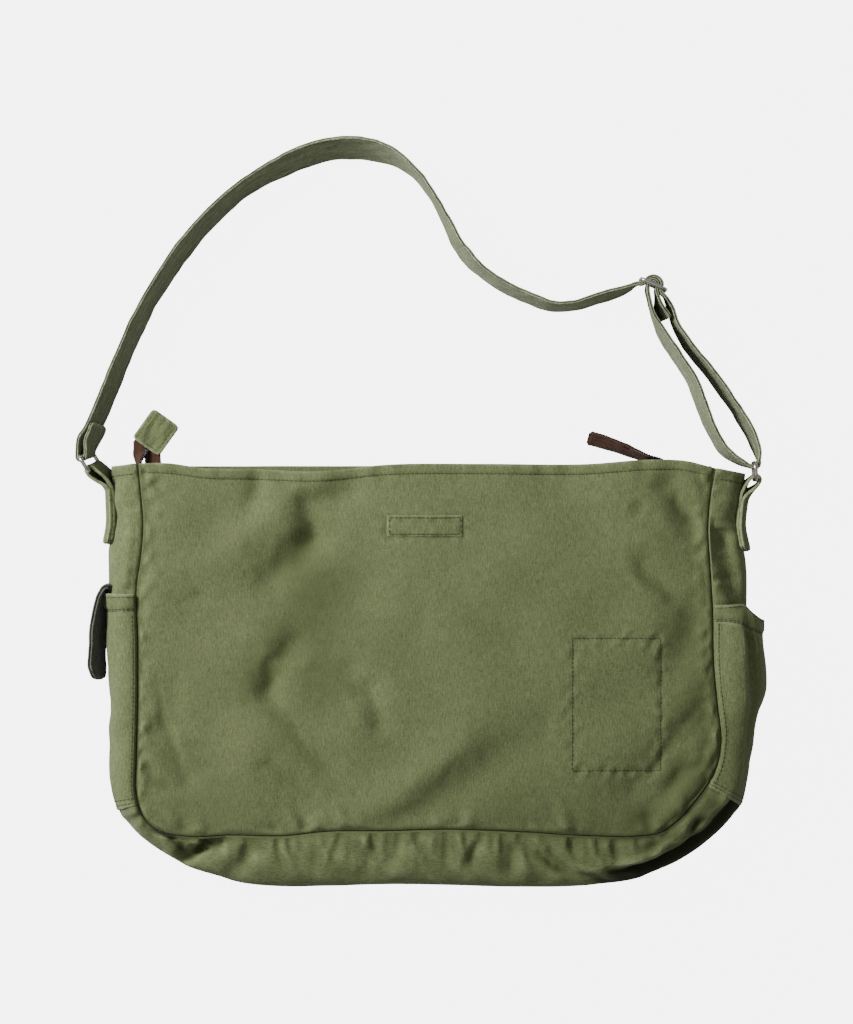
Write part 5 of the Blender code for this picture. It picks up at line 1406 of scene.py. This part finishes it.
class Nodes:
    """Adds nodes to a tree and joins them; a value that is not a socket is set on the input."""

    def __init__(self, tree):
        self.tree = tree

    def add(self, kind, inputs=None, **settings):
        """A node of a kind with its settings and its inputs."""
        made = self.tree.nodes.new(kind)
        for name, value in settings.items():
            setattr(made, name, value)
        for name, value in (inputs or {}).items():
            self.give(made.inputs[name], value)
        return made

    def give(self, socket, value):
        """Joins an input to a socket, or sets a value on it."""
        if isinstance(value, bpy.types.NodeSocket):
            self.tree.links.new(value, socket)
        else:
            socket.default_value = value

    def math(self, operation, a, b=0.0, c=0.0, clamp=False):
        """Result of an operation on one to three values."""
        made = self.add("ShaderNodeMath", {0: a, 1: b, 2: c}, operation=operation)
        made.use_clamp = clamp
        return made.outputs[0]

    def noise(self, vector, scale, detail=2.0, roughness=0.5):
        """Noise from 0 to 1."""
        made = self.add("ShaderNodeTexNoise", {"Vector": vector, "Scale": scale, "Detail": detail,
                                               "Roughness": roughness})
        return made.outputs["Fac"]

    def ramp(self, value, low, high, to_low=0.0, to_high=1.0):
        """A value's place between two values, put smoothly between two others."""
        made = self.add("ShaderNodeMapRange", {"Value": value, "From Min": low, "From Max": high,
                                               "To Min": to_low, "To Max": to_high})
        made.interpolation_type = "SMOOTHSTEP"
        return made.outputs["Result"]

    def mix(self, share, a, b):
        """The second of two colours by a share, and the first by the rest."""
        made = self.add("ShaderNodeMix", data_type="RGBA")
        for socket, value in ((0, share), (6, a), (7, b)):
            self.give(made.inputs[socket], value)
        return made.outputs[2]

    def threads(self, cloth, scale_x, scale_y, turn=0.0, detail=1.0):
        """Noise that is drawn out along one way of the cloth."""
        place = self.add("ShaderNodeMapping", {"Vector": cloth, "Scale": (scale_x, scale_y, 1.0),
                                               "Rotation": (0.0, 0.0, turn)}).outputs[0]
        return self.noise(place, 1.0, detail, 0.6)


def new_group(name, inputs, outputs):
    """A group of nodes with sockets of the kinds given, and what its own nodes need."""
    group = bpy.data.node_groups.new(name, "ShaderNodeTree")
    for way, sockets in (("INPUT", inputs), ("OUTPUT", outputs)):
        for title, kind in sockets.items():
            group.interface.new_socket(title, in_out=way, socket_type="NodeSocket" + kind)
    nodes = Nodes(group)
    return group, nodes, nodes.add("NodeGroupInput").outputs, nodes.add("NodeGroupOutput").inputs


def make_weave_group():
    """Twill: slanting cords, each broken up by the threads that cross it, with uneven yarn. Height
    is 0 between the cords and 1 on them."""
    group, n, given, out = new_group(
        "twill_weave", {"Cloth": "Vector", "Cord spacing": "Float", "Slant": "Float"},
        {"Height": "Float", "Slub": "Float"})
    place = n.add("ShaderNodeSeparateXYZ", {0: given["Cloth"]}).outputs
    wander = n.noise(given["Cloth"], 260.0, 1.0)
    wander = n.math("MULTIPLY", n.math("SUBTRACT", wander, 0.5), 0.0011)
    slanted = n.math("ADD", n.math("MULTIPLY", place["X"], given["Slant"]), place["Y"])
    slanted = n.math("ADD", slanted, wander)
    turns = n.math("DIVIDE", 2 * math.pi, given["Cord spacing"])
    cord = n.math("SINE", n.math("MULTIPLY", slanted, turns))
    crossing = n.math("SUBTRACT", place["Y"], n.math("MULTIPLY", place["X"], 0.35))
    thread = n.math("SINE", n.math("MULTIPLY", crossing, n.math("MULTIPLY", turns, 1.7)))
    height = n.math("MULTIPLY_ADD", cord, 0.34, n.math("MULTIPLY_ADD", thread, 0.16, 0.5))
    n.give(out["Height"], height)
    warp = n.threads(given["Cloth"], 1800.0, 90.0)
    weft = n.threads(given["Cloth"], 110.0, 1500.0)
    n.give(out["Slub"], n.math("MULTIPLY", n.math("ADD", warp, weft), 0.5))
    return group


def make_wash_and_shade_group():
    """Colour of washed cloth: blotches in the dye, a speckle of paler and darker yarn, much paler
    where the cloth is worn (value above 0), darker by painted shade in its grooves, creases, seams
    and shaded patches (below 0) and almost black by painted shadow in the deepest fold (below -1)."""
    group, n, given, out = new_group(
        "washed_dye_and_shade",
        {"Place": "Vector", "Cloth": "Vector", "Dye": "Color", "Faded": "Color", "Deep": "Color",
         "Yarn": "Float", "Wear and shade": "Float", "Streaks": "Float"},
        {"Colour": "Color"})
    broad = n.ramp(n.noise(given["Place"], 9.0, 2.0, 0.55), 0.30, 0.72)
    middle = n.ramp(n.noise(given["Place"], 60.0, 2.0, 0.6), 0.28, 0.74)
    blotch = n.math("MULTIPLY_ADD", broad, 0.30, n.math("MULTIPLY", middle, 0.14))
    colour = n.mix(blotch, given["Dye"], given["Deep"])
    grain = n.noise(given["Place"], 950.0, 2.0, 0.6)
    slanted = n.threads(given["Cloth"], 1150.0, 260.0, 0.78)
    ribs = n.threads(given["Cloth"], 850.0, 130.0)
    speck = n.math("MULTIPLY_ADD", grain, 0.42, n.math("MULTIPLY", slanted, 0.33))
    speck = n.math("MULTIPLY_ADD", ribs, 0.25, speck)
    speck = n.math("MULTIPLY_ADD", given["Yarn"], 0.05, n.math("SUBTRACT", speck, 0.525))
    speck = n.math("MULTIPLY_ADD", speck, 3.6, 0.5, clamp=True)
    low = n.mix(0.55, colour, given["Deep"])
    high = n.mix(0.42, colour, given["Faded"])
    colour = n.mix(speck, low, high)
    streak = n.threads(given["Cloth"], 420.0, 26.0, detail=2.0)
    colour = n.mix(n.math("MULTIPLY", n.ramp(streak, 0.62, 0.36), given["Streaks"]), colour,
                   given["Deep"])
    rubbed = n.ramp(n.noise(given["Place"], 300.0, 2.0, 0.75), 0.34, 0.62, 0.20, 1.0)
    fade = n.math("MULTIPLY", given["Wear and shade"], rubbed, clamp=True)
    colour = n.mix(n.math("MULTIPLY", fade, 0.85), colour, given["Faded"])
    # Painted shade: the colour turns deeper where the value is below 0
    groove = n.math("MULTIPLY", given["Wear and shade"], -0.75, clamp=True)
    colour = n.mix(groove, colour, given["Deep"])
    # Painted shadow: almost black where the value is below -1
    painted_shadow = n.math("MULTIPLY_ADD", given["Wear and shade"], -1.0, -1.0, clamp=True)
    n.give(out["Colour"], n.mix(painted_shadow, colour, (0.010, 0.012, 0.006, 1.0)))
    return group


WEAVE = make_weave_group()
WASH_AND_SHADE = make_wash_and_shade_group()


def new_material(name, colour):
    """A material, its nodes and the inputs of its shader."""
    made = bpy.data.materials.new(name)
    made.use_nodes = True
    made.diffuse_color = (*colour, 1.0)
    return made, Nodes(made.node_tree), made.node_tree.nodes["Principled BSDF"].inputs


def cloth_material(name, dye, faded, deep, cord=0.0011, slant=1.0, sheen=0.12, streaks=0.0):
    """Washed twill: its colours by the wear and the painted shade of each place, and its weave raised
    and a little less rough on the cords."""
    made, n, shader = new_material(name, dye)
    shader["IOR"].default_value = 1.45
    shader["Specular IOR Level"].default_value = 0.25
    shader["Sheen Weight"].default_value = sheen
    shader["Sheen Roughness"].default_value = 0.5
    cloth = n.add("ShaderNodeUVMap", uv_map="cloth").outputs["UV"]
    place = n.add("ShaderNodeTexCoord").outputs["Object"]
    wear_and_shade = n.add("ShaderNodeAttribute", attribute_name="wear_and_shade").outputs["Fac"]
    weave = n.add("ShaderNodeGroup", node_tree=WEAVE)
    for title, value in (("Cloth", cloth), ("Cord spacing", cord), ("Slant", slant)):
        n.give(weave.inputs[title], value)
    yarn = weave.outputs["Height"]
    wash = n.add("ShaderNodeGroup", node_tree=WASH_AND_SHADE)
    for title, value in (("Place", place), ("Cloth", cloth), ("Dye", (*dye, 1)),
                         ("Faded", (*faded, 1)), ("Deep", (*deep, 1)), ("Yarn", yarn),
                         ("Wear and shade", wear_and_shade), ("Streaks", streaks)):
        n.give(wash.inputs[title], value)
    n.give(shader["Base Color"], wash.outputs["Colour"])
    n.give(shader["Roughness"], n.ramp(yarn, 0.0, 1.0, 0.96, 0.88))
    fuzz = n.noise(place, 1100.0, 1.0, 0.7)
    height = n.math("MULTIPLY_ADD", weave.outputs["Slub"], 0.9, n.math("MULTIPLY", fuzz, 0.5))
    height = n.math("MULTIPLY_ADD", yarn, 0.55, height)
    raised = n.add("ShaderNodeBump", {"Strength": 0.7, "Distance": 0.00045, "Height": height})
    n.give(shader["Normal"], raised.outputs[0])
    return made


def plain_material(name, colour, roughness, metallic=0.0, scale=300.0, bump=0.0001, change=0.25):
    """A hard or thread finish with small uneven marks in its colour, roughness and surface."""
    made, n, shader = new_material(name, colour)
    shader["Metallic"].default_value = metallic
    place = n.add("ShaderNodeTexCoord").outputs["Object"]
    marks = n.noise(place, scale, 4.0, 0.65)
    darker = tuple(c * (1 - change) for c in colour)
    lighter = tuple(min(1.0, c * (1 + change)) for c in colour)
    n.give(shader["Base Color"], n.mix(n.ramp(marks, 0.3, 0.7), (*darker, 1), (*lighter, 1)))
    n.give(shader["Roughness"], n.ramp(n.noise(place, scale * 0.4, 3.0), 0.3, 0.7,
                                       roughness - 0.07, roughness + 0.10))
    raised = n.add("ShaderNodeBump", {"Strength": 0.5, "Distance": bump, "Height": marks})
    n.give(shader["Normal"], raised.outputs[0])
    return made


olive = cloth_material("olive_canvas", (0.160, 0.194, 0.073), (0.355, 0.402, 0.215),
                       (0.080, 0.100, 0.033))
olive_strap = cloth_material("faded_olive_canvas", (0.256, 0.296, 0.142), (0.600, 0.640, 0.440),
                             (0.082, 0.100, 0.040), streaks=0.42)
charcoal = cloth_material("charcoal_canvas", (0.056, 0.060, 0.045), (0.220, 0.228, 0.185),
                          (0.024, 0.026, 0.020), sheen=0.2)
tape_brown = cloth_material("brown_zip_tape", (0.090, 0.038, 0.024), (0.170, 0.090, 0.062),
                            (0.042, 0.019, 0.012), cord=0.0007, slant=0.0, sheen=0.1)
teeth_black = plain_material("black_zip_teeth", (0.012, 0.012, 0.012), 0.42)
nickel = plain_material("worn_nickel", (0.560, 0.535, 0.490), 0.28, 1.0, scale=420.0, bump=0.00005,
                        change=0.12)
# Its colour is darkened further to stand also for the shade in the stitch holes: partly painted shade
thread = plain_material("dark_olive_thread", (0.048, 0.058, 0.028), 0.75, scale=900.0, change=0.2)

# Putting the bag together

front_points = make_front(olive)
make_back(olive)
sides = make_band(olive)
pockets = (make_pocket("left_pocket_cloth", "side_pocket_left", 0, olive),
           make_pocket("right_pocket_cloth", "side_pocket_right", 1, olive))
tabs = (make_tab("left_tab_cloth", "tab_left", 0, olive),
        make_tab("right_tab_cloth", "tab_right", 1, olive))
make_wire("left_ring_wire", "ring_left", RING[0], nickel)
make_wire("right_ring_wire", "ring_right", RING[1], nickel)
make_wire("slider_wire", "slider", SLIDER, nickel, middle_bar=True)

strap = band_rows(strap_rows(), STRAP_WIDTH, STRAP_THICKNESS, step=0.0017, wave=0.00028,
                  corner=0.003)
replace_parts(put(band_mesh("strap_cloth", strap), olive_strap), "strap")
flap = band_rows(flap_rows(), FLAP_WIDTH, 1.25 * FLAP_THICKNESS, step=0.0012, wave=0.0003,
                 seed=45, corner=0.012)
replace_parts(put(band_mesh("flap_cloth", flap), charcoal), "pocket_flap")
zip_tab = band_rows(zip_tab_rows(), ZIP_TAB_WIDE, ZIP_TAB_THICKNESS, step=0.0010, wave=0.0004,
                    seed=47, corner=0.0035, stitched=ZIP_TAB_STITCHES)
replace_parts(put(band_mesh("zip_tab_cloth", zip_tab, stitched=ZIP_TAB_STITCHES), olive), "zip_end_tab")
for half, edges in tape_rows().items():
    # The tape goes on under the teeth, further where it lies open or loose
    under = unit(edges[:, 1:] - edges[:, :1]) * UNDER_TEETH
    under[:5] *= np.array([2.2, 2.2, 2.2, 1.7, 1.2])[:, None, None]
    if half == "front":
        under[-5:] *= 1 + 1.3 * np.array([0.2, 0.8, 1, 1, 1])[:, None, None]
    rows = np.concatenate([edges[:, :1], edges.mean(axis=1, keepdims=True) + under / 2,
                           edges[:, 1:] + under], axis=1)
    tape = band_rows(rows, TAPE_WIDTH + UNDER_TEETH, TAPE_THICKNESS, step=0.0022, wave=0.0003,
                     seed=49, corner=0.002, stitched=0.0030,
                     swell=loose_end if half == "front" else None)
    name = "zip_tape_" + half
    piece = put(band_mesh(name + "_cloth", tape, worn_edge=0.0005), tape_brown)
    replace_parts(piece, name)
    make_teeth("zip_teeth_" + half + "_blocks", "zip_teeth_" + half, edges, teeth_black)


# Stitches and the sewn patch

ABOVE_BAG = 0.2
FRONT_TREE = BVHTree.FromPolygons(
    front_points.reshape(-1, 3).tolist(), grid_faces(*front_points.shape[:2])[:, ::-1].tolist()
)


def on_front(plan, lift=THREAD_LIFT):
    """Places on the front panel under a run of places in plan, and its normals there."""
    places, normals = [], []
    for x, y in plan:
        hit, normal, _, _ = FRONT_TREE.ray_cast(Vector((x, y, ABOVE_BAG)), Vector((0, 0, -1)))
        if hit is not None:
            normal = normal if normal.z > 0 else -normal
            places.append(hit + normal * lift)
            normals.append(normal)
    return np.array(places), np.array(normals)


def around(sides, inwards=0.0):
    """The four sides of a rectangle, each a run of places in plan."""
    left, right, low, high = sides
    left, right, low, high = left + inwards, right - inwards, low + inwards, high - inwards
    corners = np.array([(left, low), (right, low), (right, high), (left, high), (left, low)])
    for a, b in zip(corners[:-1], corners[1:]):
        yield a + np.linspace(0, 1, 40)[:, None] * (b - a)


rim = front_at(np.linspace(0.012, 0.988, 200), [RIM_STITCHES / PANEL_HEIGHT])[0]
sew("rim_stitches", [on_front(rim[:, :2])], thread)
sew("hidden_pocket_stitches", [on_front(line) for line in around(HIDDEN_POCKET)], thread)

left, right, low, high = PATCH
x, y = np.meshgrid(np.linspace(left, right, 61), np.linspace(high, low, 19))
patch, normals = on_front(np.column_stack([x.ravel(), y.ravel()]), 0.0)
edge = np.minimum(np.minimum(x - left, right - x), np.minimum(y - low, high - y)).ravel()
lift = 0.0001 + 0.0004 * np.sqrt(np.clip(edge / 0.0007, 0, 1))
lift -= 0.0002 * bell(edge - EDGE_STITCHES, 0.0009)
patch = (patch + normals * lift[:, None]).reshape(*x.shape, 3)
mesh = mesh_from("sewn_patch", patch, grid_faces(*x.shape)[:, ::-1], flat_uv(patch),
                 0.5 * bell(edge, 0.0012))
thicken(put(mesh, olive), 0.0007)
sew("patch_stitches", [on_front(line, 0.0009) for line in around(PATCH, EDGE_STITCHES)], thread)


def grid_run(points, normals, i, j, lift=THREAD_LIFT):
    """A run over a grid of points at fractional rows and columns, lifted off it: each place is the
    mean of the four points around it, weighted by how near they are."""
    i, j = np.broadcast_arrays(np.asarray(i, float), np.asarray(j, float))
    a = np.clip(i.astype(int), 0, points.shape[0] - 2)
    b = np.clip(j.astype(int), 0, points.shape[1] - 2)
    u, v = (i - a)[:, None], (j - b)[:, None]

    def read(values):
        """Mean of the four values around each place, each weighted by its share."""
        return ((1 - u) * (1 - v) * values[a, b] + (1 - u) * v * values[a, b + 1]
                + u * (1 - v) * values[a + 1, b] + u * v * values[a + 1, b + 1])

    up = unit(read(normals))
    return read(points) + up * lift, up


# Stitches run along fractional rows and columns of a piece's points. A pocket has three rows of
# them along its hem, one down each of its edges and two along its foot
rows = []
for (points, down), flip in zip(pockets, (1, -1)):
    normals = outwards(points, flip)
    columns = np.linspace(0, points.shape[1] - 1, 60)
    for distance in POCKET_STITCHES:
        row = np.interp(distance, down, np.arange(len(down)))
        rows.append(grid_run(points, normals, row, columns))
    lines = np.linspace(8, points.shape[0] - 3, 80)
    for column in (1.1, points.shape[1] - 2.1):
        rows.append(grid_run(points, normals, lines, column))
    for row in (points.shape[0] - 2.3, points.shape[0] - 3.8):
        rows.append(grid_run(points, normals, row, columns))
sew("pocket_stitches", rows, thread)

rows = []
for (at, points), mouth, order in zip(sides, (0, -1), (1, -1)):
    off = np.abs(at - at[mouth])
    row = np.interp(RIM_STITCHES, off[::order], np.arange(len(at))[::order])
    columns = np.linspace(1.5, points.shape[1] - 2.5, 70)
    rows.append(grid_run(points, outwards(points), row, columns))
sew("side_mouth_stitches", rows, thread)

rows = []
lift = TAB_THICKNESS / 2 + 0.0001
for points, flip in zip(tabs, (-1, 1)):
    outer = points[len(points) // 2:]
    normals = outwards(outer, flip)
    lines = np.linspace(4, len(outer) - 2.5, 60)
    for column in (3.0, outer.shape[1] - 4.0):
        rows.append(grid_run(outer, normals, lines, column, lift))
    columns = np.linspace(3.0, outer.shape[1] - 4.0, 30)
    for row in (len(outer) - 3.4, len(outer) - 34):
        rows.append(grid_run(outer, normals, row, columns, lift))
sew("tab_stitches", rows, thread)


def band_stitches(band, from_edge):
    """Rows of stitches along both edges of a band of cloth, on both of its faces."""
    half_width = band["place"].max()
    across = band["place"][1:-1]
    rows = []
    for edge in (1, -1):
        place = edge * (half_width - from_edge)
        half = np.interp(place, across, band["half"][1:-1])
        bend = np.array([np.interp(place, across, row[1:-1]) for row in band["bend"]])
        spread = place * band["wide"][:, None]
        line = band["middle"] + band["upright"] * spread + band["through"] * bend[:, None]
        for face in (1, -1):
            path = line + band["through"] * face * (half - 0.00008)
            rows.append((path[2:-2], face * band["through"][2:-2]))
    return rows


sew("strap_stitches", band_stitches(strap, EDGE_STITCHES), thread)
sew("flap_stitches", band_stitches(flap, EDGE_STITCHES), thread)
rows = band_stitches(zip_tab, ZIP_TAB_STITCHES)
place = np.linspace(-0.0092, 0.0092, 20)[:, None]
for at in (3, -4):
    through = zip_tab["through"][at]
    for face in (1, -1):
        path = (zip_tab["middle"][at] + zip_tab["upright"][at] * place
                + through * face * (zip_tab["half"].max() - 0.0001))
        rows.append((path, np.tile(face * through, (len(path), 1))))
sew("zip_tab_stitches", rows, thread)


# Floor, light and camera

FLOOR_SIDE = 14.0         # half a side of the floor
FLOOR_TOP = -0.0004
FLOOR_GLOW = 6.6
GLOW_SHARE = 0.9          # how much of what the camera sees of the floor is its glow
CAMERA_UP = 5.0
BAG_MIDDLE = 0.03         # height at which the picture's scale holds
PICTURE_HEIGHT = 0.7987   # what the picture shows there from its lower to its upper edge
FILM = 36.0               # millimetres


def make_floor():
    """A plain pale floor. It shows almost evenly pale, and lights the bag as a matt floor does."""
    made, n, matt = new_material("pale_floor", (0.80, 0.80, 0.80))
    matt["Base Color"].default_value = (0.80, 0.80, 0.80, 1.0)
    matt["Roughness"].default_value = 1.0
    glow = n.add("ShaderNodeEmission", {"Color": (1.0, 1.0, 1.0, 1.0), "Strength": FLOOR_GLOW})
    seen = n.add("ShaderNodeLightPath").outputs["Is Camera Ray"]
    shader = made.node_tree.nodes["Principled BSDF"].outputs[0]
    joined = n.add("ShaderNodeMixShader", {0: n.math("MULTIPLY", seen, GLOW_SHARE), 1: shader,
                                           2: glow.outputs[0]})
    n.give(made.node_tree.nodes["Material Output"].inputs["Surface"], joined.outputs[0])
    corners = [(x * FLOOR_SIDE, y * FLOOR_SIDE, FLOOR_TOP)
               for x, y in ((-1, -1), (1, -1), (1, 1), (-1, 1))]
    mesh = bpy.data.meshes.new("floor")
    mesh.from_pydata(corners, [], [(0, 1, 2, 3)])
    mesh.materials.append(made)
    floor = bpy.data.objects.new("floor", mesh)
    OBJECTS.objects.link(floor)


def make_light(name, place, size, power):
    """A round lamp that shines on the bag."""
    light = bpy.data.lights.new(name, "AREA")
    light.shape = "DISK"
    light.size = size
    light.energy = power
    made = bpy.data.objects.new(name, light)
    made.location = place
    way = Vector((0.0, 0.03, 0.0)) - Vector(place)
    made.rotation_euler = way.to_track_quat("-Z", "Y").to_euler()
    bpy.context.scene.collection.objects.link(made)


make_floor()
make_light("window", (-2.05, 1.15, 1.40), 0.8, 99.0)
make_light("fill", (0.0, 0.2, 2.6), 2.4, 7.0)
world = bpy.data.worlds.new("studio")
world.use_nodes = True
sky = world.node_tree.nodes["Background"].inputs
sky["Color"].default_value = (1.0, 1.0, 1.0, 1.0)
sky["Strength"].default_value = 0.20
bpy.context.scene.world = world

camera = bpy.data.cameras.new("camera")
camera.sensor_width = FILM
camera.lens = FILM * (CAMERA_UP - BAG_MIDDLE) / PICTURE_HEIGHT
camera.clip_end = 100.0
viewer = bpy.data.objects.new("camera", camera)
viewer.location = (0.0, 0.1065, CAMERA_UP)
bpy.context.scene.collection.objects.link(viewer)
bpy.context.scene.camera = viewer
